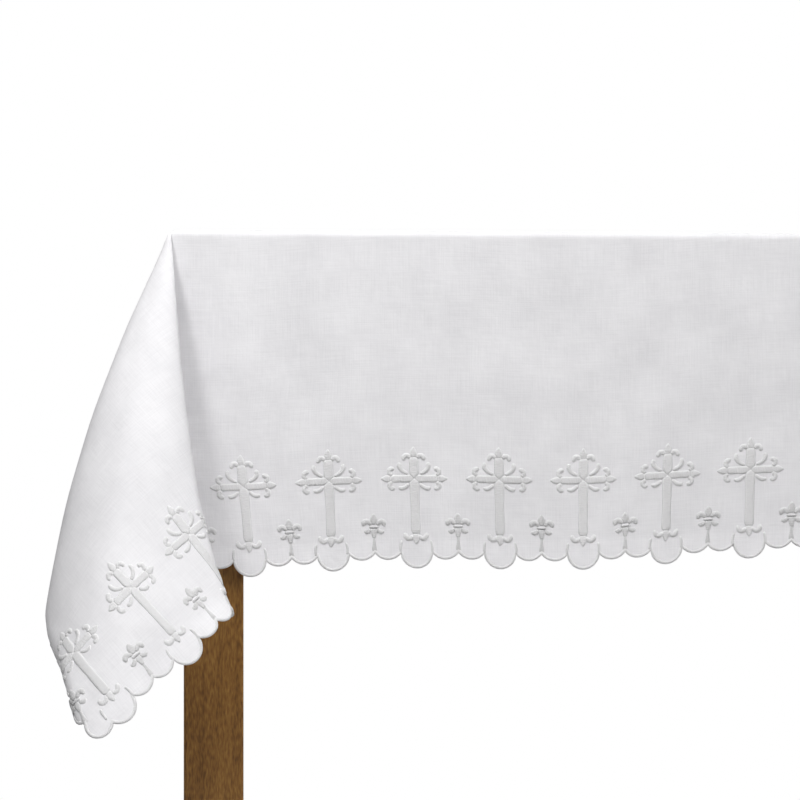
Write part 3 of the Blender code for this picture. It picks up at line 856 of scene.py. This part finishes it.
@dataclass(frozen=True)
class ThreadFinish:
    """White satin stitch: threads side by side across each stroke, each stroke painted lighter along its
    sides than on its top, a painted highlight, and darker where the threads dive into the linen, a painted
    shade.
    """

    name: str = "white_satin_stitch"
    stitch: float = 0.00055
    roughness: float = 0.55
    gloss: float = 0.3
    # top is the thread's own colour; side is a painted highlight along the sides of a stroke; the last stop
    # is a painted shade where the threads dive in
    top: Colour = (0.83, 0.825, 0.83, 1.0)
    side: Colour = (0.90, 0.895, 0.90, 1.0)
    sunk_painted_shade: Colour = (0.50, 0.495, 0.505, 1.0)
    top_until: float = 0.60
    side_highlight_at: float = 0.86
    loose_threads: Triple = (700.0, 160.0, 1.0)
    stitch_bump: tuple[float, float] = (0.00010, 0.5)
    loose_bump: tuple[float, float] = (0.0008, 0.8)

    def build(self) -> Material:
        """Return the surface."""
        kit = NodeKit(self.name)
        along, _ = kit.along_and_across()
        threads = kit.ridges(along, 2 * math.pi / self.stitch)
        stops = ((self.top_until, self.top), (self.side_highlight_at, self.side), (1.0, self.sunk_painted_shade))
        colour = kit.times(kit.ramp(kit.point_value(RIM_ATTRIBUTE), *stops), kit.point_value(TONE_ATTRIBUTE))
        loose = kit.noise("UV", self.loose_threads, detail=2.0)
        sewn = kit.bump(loose, self.loose_bump, kit.bump(threads, self.stitch_bump))
        return kit.finished(colour, sewn, self.roughness, self.gloss)


class Grain(Enum):
    """Which way the grain of a board runs, as the number of that axis."""

    LONG = 0
    WIDE = 1
    UPRIGHT = 2


@dataclass(frozen=True)
class WoodFinish:
    """Brown stained wood with fine streaks along its grain and a satin varnish.

    Streaks and flecks are given by how many lie in a metre, along the grain and across it.
    """

    grain: Grain
    dark: Colour = (0.135, 0.058, 0.013, 1.0)
    middle: Colour = (0.270, 0.128, 0.030, 1.0)
    light: Colour = (0.420, 0.215, 0.056, 1.0)
    dark_until: float = 0.36
    middle_at: float = 0.5
    light_from: float = 0.64
    roughness: float = 0.42
    streaks: tuple[float, float] = (9.0, 95.0)
    flecks: tuple[float, float] = (110.0, 520.0)
    band_scale: float = 0.22
    streak_and_fleck: tuple[float, float] = (0.4, 0.6)
    fine_and_band: tuple[float, float] = (0.65, 0.35)
    pore_bump: tuple[float, float] = (0.0004, 0.35)

    def on_axes(self, counts: tuple[float, float], scale: float = 1.0) -> Triple:
        """Return counts along and across the grain as counts along the three axes."""
        along, across = counts[0] * scale, counts[1] * scale
        return tuple(along if axis == self.grain.value else across for axis in range(3))

    def build(self) -> Material:
        """Return the surface."""
        kit = NodeKit(f"brown_stained_wood_{self.grain.name.lower()}")
        streaks = kit.noise("Object", self.on_axes(self.streaks), detail=5.0, rough=0.65)
        bands = kit.noise("Object", self.on_axes(self.streaks, self.band_scale), detail=2.0)
        flecks = kit.noise("Object", self.on_axes(self.flecks), detail=1.0)
        fine = kit.weighted(streaks, flecks, self.streak_and_fleck)
        figure = kit.weighted(fine, bands, self.fine_and_band)
        stops = ((self.dark_until, self.dark), (self.middle_at, self.middle), (self.light_from, self.light))
        return kit.finished(kit.ramp(figure, *stops), kit.bump(fine, self.pore_bump), self.roughness)


@dataclass(frozen=True)
class FloorFinish:
    """Pale matt floor."""

    name: str = "pale_floor_paint"
    colour: Colour = (0.70, 0.70, 0.70, 1.0)
    roughness: float = 0.9

    def build(self) -> Material:
        """Return the surface."""
        kit = NodeKit(self.name)
        kit.shader.inputs["Base Color"].default_value = self.colour
        kit.shader.inputs["Roughness"].default_value = self.roughness
        return kit.surface


class StrokePoint(NamedTuple):
    """A point on the middle line of a stroke, in millimetres, and half the stroke's width there."""

    across: float
    up: float
    half_width: float


class Stroke(NamedTuple):
    """A padded stroke of satin stitch; a mirrored one is sewn on both sides of the motif."""

    name: str
    height: float
    steps: int
    columns: int
    mirrored: bool
    points: tuple[StrokePoint, ...]


def single(name: str, height: float, steps: int, columns: int, *rows: Triple) -> Stroke:
    """Chart a stroke that is sewn once.

    Args:
        name: what the stroke shows.
        height: how high its padding stands.
        steps: how many rows of stitches its grid has along it.
        columns: how many it has across.
        rows: across, up and half width at points of its middle line.

    Returns:
        The stroke, in millimetres.
    """
    return Stroke(name, height, steps, columns, False, tuple(StrokePoint(*row) for row in rows))


def pair(name: str, height: float, steps: int, columns: int, *rows: Triple) -> Stroke:
    """Chart a stroke that is sewn on both sides of the motif, with the same arguments."""
    return single(name, height, steps, columns, *rows)._replace(mirrored=True)


FLEUR = (
    single("petal", 0.8, 7, 5, (0, -2.4, 4.6), (0, 1.6, 4.9), (0, 5.6, 4.2), (0, 9.2, 2.0), (0, 11.6, 0.4)),
    pair(
        "curl", 0.8, 10, 4,
        (3.6, -2.6, 2.9), (6.4, 0.6, 3.0), (9.4, 1.0, 3.2), (11.8, -1.8, 3.2), (11.2, -5.4, 2.4),
    ),
)
CROSS_BODY = (
    single(
        "lower_stem", 1.0, 18, 6,
        (0, 0, 0.3), (0, -5.4, 5.8), (0, -34.0, 5.6), (0, -62.0, 6.0), (0, -68.0, 6.2),
    ),
    single("upper_stem", 1.0, 9, 6, (0, 0, 0.3), (0, 5.2, 5.7), (0, 16.0, 5.8), (0, 27.0, 6.2)),
    pair("arm", 0.8, 9, 6, (0, 0, 0.3), (4.8, 0, 4.6), (17.0, 0, 4.5), (29.0, 0, 5.0)),
    pair(
        "upper_scroll", 0.8, 10, 4,
        (6.4, 5.6, 1.8), (11.0, 7.6, 2.4), (15.6, 11.0, 2.9), (17.8, 15.6, 3.1), (16.6, 19.8, 2.4),
    ),
    pair(
        "lower_scroll", 0.8, 9, 4,
        (6.4, -6.2, 1.9), (9.6, -9.2, 2.4), (13.4, -11.4, 2.8), (17.0, -11.6, 2.6), (19.2, -9.8, 1.8),
    ),
    single("foot_petal", 0.9, 7, 5, (0, -66.0, 4.6), (0, -70.4, 4.9), (0, -75.2, 3.4), (0, -79.8, 0.4)),
    pair(
        "foot_curl", 0.9, 10, 4,
        (3.2, -68.6, 2.2), (6.4, -72.0, 2.9), (10.4, -72.2, 3.3), (13.0, -69.0, 3.3), (12.2, -65.4, 2.3),
    ),
    pair(
        "scallop_arm", 0.8, 7, 4,
        (19.2, -89.4, 1.6), (19.6, -84.4, 1.8), (19.2, -79.0, 1.8), (17.8, -74.4, 1.3),
    ),
)
FLOWER = (
    single("top_petal", 1.0, 7, 5, (0, 0.8, 2.6), (0, 5.6, 4.9), (0, 10.4, 4.0), (0, 15.0, 0.8)),
    pair(
        "side_petal", 0.9, 10, 4,
        (3.0, 0.8, 2.4), (6.2, 4.2, 3.1), (9.6, 5.4, 3.6), (12.4, 3.0, 3.6), (11.4, -0.6, 2.4),
    ),
    single("flower_band", 1.3, 6, 4, (-6.4, -1.4, 1.3), (0, -1.4, 1.7), (6.4, -1.4, 1.3)),
    single("tail", 0.9, 7, 5, (0, -2.8, 4.4), (0, -6.6, 4.2), (0, -10.8, 3.0), (0, -15.4, 2.1)),
    pair("low_leaf", 0.8, 8, 4, (3.4, -3.4, 2.2), (6.6, -6.6, 2.9), (9.8, -7.4, 3.0), (11.4, -5.0, 2.1)),
    single("stem", 0.5, 6, 4, (0, -13.6, 1.6), (0.1, -20.0, 2.1), (0, -26.0, 3.2), (0, -31.5, 4.8)),
)


class MotifPart(NamedTuple):
    """A group of strokes put into a motif: where, in millimetres, and turned by how many degrees."""

    strokes: tuple[Stroke, ...]
    across: float
    up: float
    turn: float


CROSS = (
    MotifPart(CROSS_BODY, 0.0, 0.0, 0.0),
    MotifPart(FLEUR, 0.0, 27.0, 0.0),
    MotifPart(FLEUR, 29.0, 0.0, -90.0),
    MotifPart(FLEUR, -29.0, 0.0, 90.0),
)
SMALL_FLOWER = (MotifPart(FLOWER, 0.0, 0.0, 0.0),)
CROSS_HEIGHT = 0.1067
FLOWER_HEIGHT = 0.0512
CORNER_FLOWER_INSET = 0.018
CORNER_FLOWER_HEIGHT = 0.062
CORNER_FLOWER_LEAN = math.radians(12.0)

# Share of the thread's own colour that shows, the same all round the cloth
THREAD_TONE = 0.97


@dataclass
class MeshArrays:
    """A mesh as arrays: places, faces, and at each place a running length and width, rim and tone."""

    places: FloatArray
    faces: FloatArray
    lengths: FloatArray
    rim: FloatArray
    tone: FloatArray = field(default_factory=lambda: np.ones(0))

    def repeated(self, copies: list[FloatArray], tones: list[float]) -> "MeshArrays":
        """Return one mesh of many copies, each with its own places and tone."""
        count = len(self.places)
        faces = [self.faces + index * count for index in range(len(copies))]
        return MeshArrays(
            np.vstack(copies),
            np.vstack(faces),
            np.tile(self.lengths, (len(copies), 1)),
            np.tile(self.rim, len(copies)),
            np.repeat(tones, count),
        )


def deselect_all() -> None:
    """Leave nothing selected, so that an operator acts on the next piece alone."""
    bpy.ops.object.select_all(action="DESELECT")


def ride_on_root(piece: Piece) -> None:
    """Let a piece ride on the one body."""
    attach(piece, BODY)


def report(piece: Piece) -> None:
    """Log a piece and its size."""
    triangles = sum(len(face.vertices) - 2 for face in piece.data.polygons)
    LOG.info("%s: %d triangles", piece.name, triangles)


def make_piece(name: str, mesh: MeshArrays, finish: Material) -> Piece:
    """Make an object from arrays.

    Args:
        name: the piece's name.
        mesh: its places, faces, lengths, rim and tone.
        finish: its surface.

    Returns:
        The new object, in the scene.
    """
    data = bpy.data.meshes.new(name)
    data.from_pydata(mesh.places.tolist(), [], mesh.faces.tolist())
    layer = data.uv_layers.new(name="UVMap")
    corners = np.zeros(len(data.loops), dtype=np.int32)
    data.loops.foreach_get("vertex_index", corners)
    layer.data.foreach_set("uv", mesh.lengths[corners].astype(np.float32).ravel())
    rim = data.attributes.new(RIM_ATTRIBUTE, "FLOAT", "POINT")
    rim.data.foreach_set("value", mesh.rim.astype(np.float32))
    tone = data.attributes.new(TONE_ATTRIBUTE, "FLOAT", "POINT")
    tones = mesh.tone if len(mesh.tone) else np.ones(len(mesh.places))
    tone.data.foreach_set("value", tones.astype(np.float32))
    data.materials.append(finish)
    data.shade_smooth()
    piece = bpy.data.objects.new(name, data)
    bpy.context.scene.collection.objects.link(piece)
    return piece


@dataclass
class Motif:
    """An embroidered motif, sewn flat: its strokes start as grids that are bent along the chart.

    In millimetres: embed is how deep a rim sinks in, least_end how far an end rounds at least,
    and full_from the half width from which a stroke has its whole height.
    """

    parts: tuple[MotifPart, ...]
    embed: float = 0.3
    flatness: float = 8.0
    line_samples: int = 12
    end_weight: float = 0.6
    least_end: float = 0.4
    least_width: float = 0.08
    full_from: float = 2.0

    def sew(self) -> MeshArrays:
        """Return the motif's mesh: across, up and height in metres from its middle."""
        pieces = []
        for part in self.parts:
            turn = math.radians(part.turn)
            for stroke in part.strokes:
                for side in (1, -1) if stroke.mirrored else (1,):
                    mesh = self.sew_stroke(stroke, side)
                    x, y, height = mesh.places.T
                    across = part.across + math.cos(turn) * x - math.sin(turn) * y
                    up = part.up + math.sin(turn) * x + math.cos(turn) * y
                    mesh.places = np.column_stack([across, up, height])
                    pieces.append(mesh)
        starts = np.cumsum([0] + [len(mesh.places) for mesh in pieces[:-1]])
        return MeshArrays(
            np.vstack([mesh.places for mesh in pieces]) * MM,
            np.vstack([mesh.faces + start for mesh, start in zip(pieces, starts)]),
            np.vstack([mesh.lengths for mesh in pieces]) * MM,
            np.concatenate([mesh.rim for mesh in pieces]),
        )

    def sew_stroke(self, stroke: Stroke, side: int) -> MeshArrays:
        """Bend a grid along a stroke's middle line and raise it over its padding.

        Args:
            stroke: the row of the chart.
            side: 1, or -1 for the mirrored stroke.

        Returns:
            The stroke's mesh in millimetres.
        """
        deselect_all()
        bpy.ops.mesh.primitive_grid_add(x_subdivisions=stroke.columns, y_subdivisions=stroke.steps, size=2.0)
        grid = bpy.context.active_object
        spots = np.array([vertex.co[:2] for vertex in grid.data.vertices])
        faces = np.array([list(face.vertices) for face in grid.data.polygons])
        bpy.data.meshes.remove(grid.data)
        rows = np.array(stroke.points, dtype=float)
        rows[:, 0] *= side
        line = smooth_curve(rows, 2 * rows[0] - rows[1], 2 * rows[-1] - rows[-2], self.line_samples)
        running = np.concatenate([[0.0], np.cumsum(np.linalg.norm(np.diff(line[:, :2], axis=0), axis=1))])
        even = (spots[:, 1] + 1) / 2
        close_at_ends = 0.5 - 0.5 * np.cos(math.pi * even)
        reach = (self.end_weight * close_at_ends + (1 - self.end_weight) * even) * running[-1]
        centre = np.column_stack([np.interp(reach, running, line[:, axis]) for axis in range(3)])
        slopes = np.gradient(line[:, :2], running, axis=0)
        slope = np.column_stack([np.interp(reach, running, slopes[:, axis]) for axis in range(2)])
        slope /= np.linalg.norm(slope, axis=1)[:, None]
        from_end = np.minimum(reach, running[-1] - reach)
        past_end = 1.0 - np.clip(from_end / np.maximum(centre[:, 2], self.least_end), 0, 1)
        rounding = np.sqrt(np.clip(1.0 - past_end**2, 0, 1))
        half_width = centre[:, 2] * np.maximum(rounding, self.least_width)
        offset = np.sin(spots[:, 0] * math.pi / 2)
        across = centre[:, 0] + slope[:, 1] * offset * half_width
        up = centre[:, 1] - slope[:, 0] * offset * half_width
        dome = np.sqrt(np.clip(1.0 - np.abs(offset) ** self.flatness, 0.0, 1.0))
        fullness = np.sqrt(np.clip(half_width / self.full_from, 0.0, 1.0))
        height = stroke.height * dome * fullness * rounding - self.embed * (1.0 - dome * rounding)
        # The rim share picks the painted highlight toward the sides of the stroke and the painted shade at
        # its edges and ends
        return MeshArrays(
            np.column_stack([across, up, height]),
            faces,
            np.column_stack([reach, offset * half_width]),
            np.maximum(np.abs(offset), 1.0 - rounding),
        )


@dataclass
class LinenCloth:
    """The linen cloth, triangulated flat inside its scalloped hem and laid on its folds.

    The steps are how far its places lie apart in the folds, in the panels, on the top and along the
    table's edges. Rings of places run round each corner of the table, wider apart as they grow.
    """

    thickness: float = 0.0010
    fold_step: float = 0.0066
    panel_step: float = 0.0100
    top_step: float = 0.026
    edge_step: float = 0.012
    edge_margin: float = 4 * EDGE_BEND
    bend_reach: float = 3.2
    bend_count: int = 15
    hem_margin: float = 0.0038
    ring_reach: float = 0.12
    first_ring: float = 0.0045
    ring_step: float = 0.0042
    ring_growth: float = 0.05
    ring_spacing: float = 0.0040
    fewest_on_fold: int = 22
    most_on_fold: int = 84
    all_round: float = 1.85
    merge_within: float = 1e-5
    smooth_under: float = math.radians(50.0)
    # How far in from the hem the painted brightening reaches, and how it fades
    hem_light_until: float = 0.026
    hem_light_fade: float = 0.014
    outline: FloatArray = field(default_factory=lambda: ScallopedHem().outline())

    def grid(self, low: tuple[float, float], high: tuple[float, float], step: float) -> FloatArray:
        """Return a grid of places with every other row shifted by half a step."""
        rows = max(2, round((high[1] - low[1]) / step) + 1)
        columns = max(2, round((high[0] - low[0]) / step) + 1)
        xs, ys = np.meshgrid(np.linspace(low[0], high[0], columns), np.linspace(low[1], high[1], rows))
        width = (high[0] - low[0]) / (columns - 1)
        xs[1::2] += width / 4
        xs[0::2] -= width / 4
        return np.column_stack([xs.ravel(), ys.ravel()])

    def zones(self) -> FloatArray:
        """Return places over the top, the hanging panels and the corner folds, closer where it bends."""
        half_x, half_y = CLOTH_LENGTH / 2, CLOTH_WIDTH / 2
        inner_x, inner_y = HANG_X - self.edge_margin, HANG_Y - self.edge_margin
        parts = [self.grid((-inner_x, -inner_y), (inner_x, inner_y), self.top_step)]
        for side in (-1, 1):
            bands = (
                ((-inner_x, HANG_Y + self.edge_margin), (inner_x, half_y)),
                ((HANG_X + self.edge_margin, -inner_y), (half_x, inner_y)),
            )
            parts += [side * self.grid(low, high, self.panel_step) for low, high in bands]
        for corner in CORNERS:
            sign = np.array([corner.x_side, corner.y_side])
            fold = self.grid((inner_x, inner_y), (half_x, half_y), self.fold_step)
            past_x, past_y = fold[:, 0] - HANG_X, fold[:, 1] - HANG_Y
            near = np.hypot(past_x, past_y) < self.ring_reach
            beside = (np.minimum(past_x, past_y) < 0) & (np.maximum(past_x, past_y) < self.edge_margin)
            parts.append(sign * fold[~near & ~beside])
        return np.vstack(parts)

    def bend_rows(self) -> FloatArray:
        """Return rows of places along the table's edges, where the cloth bends over them."""
        points = []
        for offset in np.linspace(-self.bend_reach, self.bend_reach, self.bend_count) * EDGE_BEND:
            for x in np.arange(-HANG_X, HANG_X, self.edge_step):
                points += [(x, -HANG_Y - offset), (x, HANG_Y + offset)]
            for y in np.arange(-HANG_Y, HANG_Y, self.edge_step):
                points += [(-HANG_X - offset, y), (HANG_X + offset, y)]
        return np.array(points)

    def rings(self) -> FloatArray:
        """Return rings of places round each corner of the table, closer toward it."""
        points = []
        fold_angle = END_FLAT_FROM - FRONT_FLAT_UNTIL
        for corner in CORNERS:
            points.append((corner.x_side * HANG_X, corner.y_side * HANG_Y))
            radius = self.first_ring
            while radius < self.ring_reach:
                on_fold = radius * fold_angle / self.ring_spacing
                count = int(np.clip(on_fold, self.fewest_on_fold, self.most_on_fold))
                for angle in np.linspace(0.0, math.radians(270.0), round(count * self.all_round)):
                    inward, past_front = radius * math.cos(angle), radius * math.sin(angle)
                    points.append((corner.x_side * (HANG_X - inward), corner.y_side * (HANG_Y + past_front)))
                radius += self.ring_step + self.ring_growth * radius
        return np.array(points)

    def keep_inside(self, flat: FloatArray) -> FloatArray:
        """Keep the places that lie inside the hem, a little off its outline and off each other."""
        notch = SMALL_SCALLOP_RISE + SMALL_SCALLOP_RADIUS
        inner_x, inner_y = CLOTH_LENGTH / 2 - notch, CLOTH_WIDTH / 2 - notch
        inside = (np.abs(flat[:, 0]) < inner_x) & (np.abs(flat[:, 1]) < inner_y)
        for lobe in ScallopedHem().lobes:
            distance = np.hypot(flat[:, 0] - lobe.x, flat[:, 1] - lobe.y)
            inside |= distance < lobe.radius - self.hem_margin
        return flat[inside]

    def lies_outside(self, triangle: list[int], outline_count: int) -> bool:
        """Tell whether a triangle fills a notch between two scallops."""
        if max(triangle) >= outline_count:
            return False
        turned = triangle.index(min(triangle))
        first, second, third = triangle[turned:] + triangle[:turned]
        return not first < second < third

    def flat_mesh(self, drape: Drape) -> tuple[FloatArray, list[list[int]]]:
        """Triangulate the flat cloth and return its places and its triangles."""
        table_rows = drape.take_off_table(np.vstack([self.bend_rows(), self.rings()]))
        inner = self.keep_inside(np.vstack([self.zones(), table_rows]))
        points = [Vector(point) for point in np.vstack([self.outline, inner])]
        border = list(range(len(self.outline)))
        result = delaunay_2d_cdt(points, [], [border], 1, self.merge_within, False)
        flat = np.array([(point.x, point.y) for point in result[0]])
        triangles = [list(face) for face in result[2]]
        return flat, [face for face in triangles if not self.lies_outside(face, len(self.outline))]

    def build(self, drape: Drape, finish: Material) -> Piece:
        """Lay the cloth on its folds, give it its thickness and dress it.

        Args:
            drape: the folds.
            finish: the linen.

        Returns:
            The cloth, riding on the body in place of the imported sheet.
        """
        flat, triangles = self.flat_mesh(drape)
        places, _ = drape.surface(flat)
        from_edge = np.minimum(CLOTH_LENGTH / 2 - np.abs(flat[:, 0]), CLOTH_WIDTH / 2 - np.abs(flat[:, 1]))
        # Share of the painted brightening near the hem, full at the hem and fading inward
        hem_light_share = 1.0 - smooth_step((from_edge - self.hem_light_until) / self.hem_light_fade)
        sheet = MeshArrays(places, np.array(triangles), flat, hem_light_share)
        cloth = make_piece("linen_cloth", sheet, finish)
        deselect_all()
        cloth.select_set(True)
        bpy.context.view_layer.objects.active = cloth
        thickness = cloth.modifiers.new("thickness", "SOLIDIFY")
        thickness.thickness = self.thickness
        thickness.offset = 0.0
        bpy.ops.object.modifier_apply(modifier=thickness.name)
        bpy.ops.object.shade_smooth_by_angle(angle=self.smooth_under)
        ride_on_root(cloth)
        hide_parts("cloth")
        report(cloth)
        return cloth


@dataclass
class SatinEdge:
    """The satin-stitched edge, a flat cord of threads that closes over the cut of the cloth.

    The rim values pick the thread's colour: the inner side of the edge gets the painted highlight of a
    stroke's sides, the outer side the plain top colour.
    """

    outline: FloatArray
    half_width: float = 0.0020
    half_height: float = 0.00115
    inset: float = 0.0015
    around: int = 8
    longest_corner: float = 1.5
    inner_from: float = 0.9
    inner_highlight_rim: float = 0.85
    outer_rim: float = 0.3

    def build(self, drape: Drape, finish: Material) -> Piece:
        """Sweep the edge's section round the hem and lay it on the folds.

        Args:
            drape: the folds.
            finish: the thread.

        Returns:
            The edge, riding on the body.
        """
        line = self.outline
        forward = np.roll(line, -1, axis=0) - line
        forward /= np.linalg.norm(forward, axis=1)[:, None]
        backward = np.roll(forward, 1, axis=0)
        inward_next = np.column_stack([-forward[:, 1], forward[:, 0]])
        inward_last = np.column_stack([-backward[:, 1], backward[:, 0]])
        inward = inward_next + inward_last
        inward /= np.linalg.norm(inward, axis=1)[:, None]
        spread = 1.0 / np.clip(np.sum(inward * inward_next, axis=1), 1.0 / self.longest_corner, 1.0)
        steps = np.linalg.norm(np.roll(line, -1, axis=0) - line, axis=1)
        running = np.concatenate([[0.0], np.cumsum(steps)[:-1]])
        flat, heights, lengths, rims = [], [], [], []
        for turn in np.arange(self.around) * 2 * math.pi / self.around:
            reach = (self.inset + self.half_width * math.cos(turn)) * spread
            flat.append(line + inward * reach[:, None])
            heights.append(np.full(len(line), self.half_height * math.sin(turn)))
            lengths.append(np.column_stack([running, np.full(len(line), turn * self.half_width)]))
            # The inner side of the edge is given the painted highlight, the outer side the top colour
            rim = self.inner_highlight_rim if math.cos(turn) > self.inner_from else self.outer_rim
            rims.append(np.full(len(line), rim))
        count = len(line)
        faces = []
        for section in range(self.around):
            following = (section + 1) % self.around
            for index in range(count):
                ahead = (index + 1) % count
                a, b = section * count + index, section * count + ahead
                c, d = following * count + ahead, following * count + index
                faces.append((a, d, c, b))
        places = drape.raised(np.vstack(flat), np.concatenate(heights))
        tones = np.full(self.around * count, THREAD_TONE)
        mesh = MeshArrays(places, np.array(faces), np.vstack(lengths), np.concatenate(rims), tones)
        edge = make_piece("satin_edge", mesh, finish)
        ride_on_root(edge)
        report(edge)
        return edge


@dataclass
class Embroidery:
    """The crosses over the big scallops and the small flowers over the notches, front and back."""

    sides: tuple[str, ...] = ("front", "back")
    surface_height: float = 0.0005
    wander: float = 0.012
    tone_wander: float = 0.012
    # The flowers are drawn darker than the crosses, a painted shade
    flower_painted_shade: float = 0.89
    seed: int = 7

    def sewn_copies(self, motif: MeshArrays, spots: list[Triple], drape: Drape, tone: float) -> MeshArrays:
        """Copy a motif to many spots of the flat cloth and carry it onto the folds.

        Args:
            motif: the motif, flat, about its own middle.
            spots: the flat place of each copy and the angle by which it is turned.
            drape: the folds.
            tone: how light this motif is drawn against the others; below one it is a painted shade.

        Returns:
            All copies as one mesh.
        """
        chance = np.random.default_rng(self.seed)
        flats, heights, tones = [], [], []
        for x, y, turn in spots:
            angle = turn + chance.normal(0.0, self.wander)
            grow = 1.0 + chance.normal(0.0, self.wander)
            across, up = grow * motif.places[:, 0], grow * motif.places[:, 1]
            flat_x = x + math.cos(angle) * across - math.sin(angle) * up
            flat_y = y + math.sin(angle) * across + math.cos(angle) * up
            flats.append(np.column_stack([flat_x, flat_y]))
            heights.append(motif.places[:, 2] + self.surface_height)
            tones.append(tone * THREAD_TONE + chance.normal(0.0, self.tone_wander))
        places = drape.raised(np.vstack(flats), np.concatenate(heights))
        return motif.repeated(np.split(places, len(spots)), tones)

    def spots(self, side: HemSide, height: float, offsets: list[float]) -> list[Triple]:
        """Return the flat places and turns of the motifs along one side of the hem."""
        turn = math.atan2(side.along_y, side.along_x)
        return [(*ScallopedHem.on_side(side, offset, height), turn) for offset in offsets]

    def build(self, drape: Drape, finish: Material) -> list[Piece]:
        """Sew the crosses and flowers of the front and the back.

        Args:
            drape: the folds.
            finish: the thread.

        Returns:
            The pieces, two for the front and two for the back, riding on the body.
        """
        cross, flower = Motif(CROSS).sew(), Motif(SMALL_FLOWER).sew()
        pieces = []
        for side in (side for side in HEM_SIDES if side.name in self.sides):
            crosses = self.spots(side, CROSS_HEIGHT, [(n + 0.5) * PITCH for n in range(side.repeats)])
            flowers = self.spots(side, FLOWER_HEIGHT, [n * PITCH for n in range(1, side.repeats)])
            ends = (CORNER_FLOWER_INSET, side.repeats * PITCH - CORNER_FLOWER_INSET)
            corners = self.spots(side, CORNER_FLOWER_HEIGHT, list(ends))
            for (x, y, turn), lean in zip(corners, (-CORNER_FLOWER_LEAN, CORNER_FLOWER_LEAN)):
                flowers.append((x, y, turn + lean))
            rows = (("crosses", cross, crosses, 1.0), ("flowers", flower, flowers, self.flower_painted_shade))
            for name, motif, spots, tone in rows:
                piece = make_piece(f"{side.name}_{name}", self.sewn_copies(motif, spots, drape, tone), finish)
                ride_on_root(piece)
                report(piece)
                pieces.append(piece)
        return pieces


class WoodenTable:
    """The table: its packed boards keep their shape and get their wood."""

    grains: dict[str, Grain] = {
        "tabletop": Grain.LONG,
        "apron_front": Grain.LONG,
        "apron_back": Grain.LONG,
        "apron_left": Grain.WIDE,
        "apron_right": Grain.WIDE,
        "leg_front_left": Grain.UPRIGHT,
        "leg_front_right": Grain.UPRIGHT,
        "leg_back_left": Grain.UPRIGHT,
        "leg_back_right": Grain.UPRIGHT,
    }

    def dress(self) -> None:
        """Give every board the wood whose grain runs along it."""
        finishes = {grain: WoodFinish(grain).build() for grain in Grain}
        for name, grain in self.grains.items():
            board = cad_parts[name]
            for index in range(len(board.material_slots)):
                board.material_slots[index].material = finishes[grain]
            report(board)


class LampRow(NamedTuple):
    """A soft square lamp: where it hangs, how wide it is and how bright."""

    name: str
    x: float
    y: float
    z: float
    width: float
    power: float


@dataclass
class Studio:
    """The camera, the soft lamps, the white surroundings and the floor."""

    camera_place: Triple = (-0.73676, -3.25908, 0.7959)
    camera_yaw: float = -5.0
    lens: float = 113.9
    sensor: float = 36.0
    lamps: tuple[LampRow, ...] = (
        LampRow("top_lamp", -0.7, -1.5, 3.6, 1.2, 45.0),
        LampRow("near_left_lamp", -1.5, -1.4, 2.2, 0.5, 20.5),
        LampRow("left_lamp", -3.4, -2.9, 2.6, 1.0, 11.0),
        LampRow("right_lamp", 2.6, -3.2, 3.4, 1.6, 91.0),
        LampRow("back_lamp", 1.2, 3.4, 2.4, 1.6, 110.0),
    )
    aim: Triple = (0.0, -0.2, 0.75)
    fill: float = 0.06
    floor_radius: float = 1.55
    floor_sides: int = 128

    def place_camera(self) -> None:
        """Stand the camera level in front of the left end of the table."""
        deselect_all()
        turn = (math.radians(90.0), 0.0, math.radians(self.camera_yaw))
        bpy.ops.object.camera_add(location=self.camera_place, rotation=turn)
        camera = bpy.context.active_object
        camera.name = "photo_camera"
        camera.data.lens = self.lens
        camera.data.sensor_width = self.sensor
        bpy.context.scene.camera = camera

    def hang_lamps(self) -> None:
        """Hang the soft lamps and turn each toward the table."""
        for row in self.lamps:
            place = Vector((row.x, row.y, row.z))
            facing = (place - Vector(self.aim)).to_track_quat("Z", "Y").to_euler()
            deselect_all()
            bpy.ops.object.light_add(type="AREA", location=place, rotation=facing)
            lamp = bpy.context.active_object
            lamp.name = row.name
            lamp.data.shape = "SQUARE"
            lamp.data.size = row.width
            lamp.data.energy = row.power

    def surround(self) -> None:
        """Make the surroundings white to look at and a soft fill for the light."""
        world = bpy.data.worlds.new("white_surroundings")
        bpy.context.scene.world = world
        world.use_nodes = True
        nodes, links = world.node_tree.nodes, world.node_tree.links
        nodes.clear()
        output = nodes.new("ShaderNodeOutputWorld")
        mix = nodes.new("ShaderNodeMixShader")
        path = nodes.new("ShaderNodeLightPath")
        links.new(path.outputs["Is Camera Ray"], mix.inputs[0])
        for strength, target in ((self.fill, mix.inputs[1]), (1.0, mix.inputs[2])):
            white = nodes.new("ShaderNodeBackground")
            white.inputs["Color"].default_value = (1.0, 1.0, 1.0, 1.0)
            white.inputs["Strength"].default_value = strength
            links.new(white.outputs[0], target)
        links.new(mix.outputs[0], output.inputs["Surface"])

    def lay_floor(self) -> None:
        """Lay the pale round floor under the table."""
        deselect_all()
        bpy.ops.mesh.primitive_circle_add(
            vertices=self.floor_sides, radius=self.floor_radius, fill_type="NGON"
        )
        floor = bpy.context.active_object
        floor.name = "pale_floor"
        floor.data.materials.append(FloorFinish().build())

    def build(self) -> None:
        """Set up everything round the table."""
        self.place_camera()
        self.hang_lamps()
        self.surround()
        self.lay_floor()
        view = bpy.context.scene.view_settings
        view.view_transform = "Standard"
        view.look = "None"
        LOG.info("studio: %d lamps", len(self.lamps))


def main() -> None:
    """Build the studio, the cloth, its embroidery and the table's wood, in that order."""
    logging.basicConfig(level=logging.INFO, format="%(name)s %(message)s", stream=sys.stdout)
    Studio().build()
    drape = Drape()
    linen, thread = LinenFinish().build(), ThreadFinish().build()
    cloth_maker = LinenCloth()
    cloth = cloth_maker.build(drape, linen)
    edge = SatinEdge(cloth_maker.outline).build(drape, thread)
    embroidery = Embroidery().build(drape, thread)
    WoodenTable().dress()


if __name__ == "__main__":
    main()
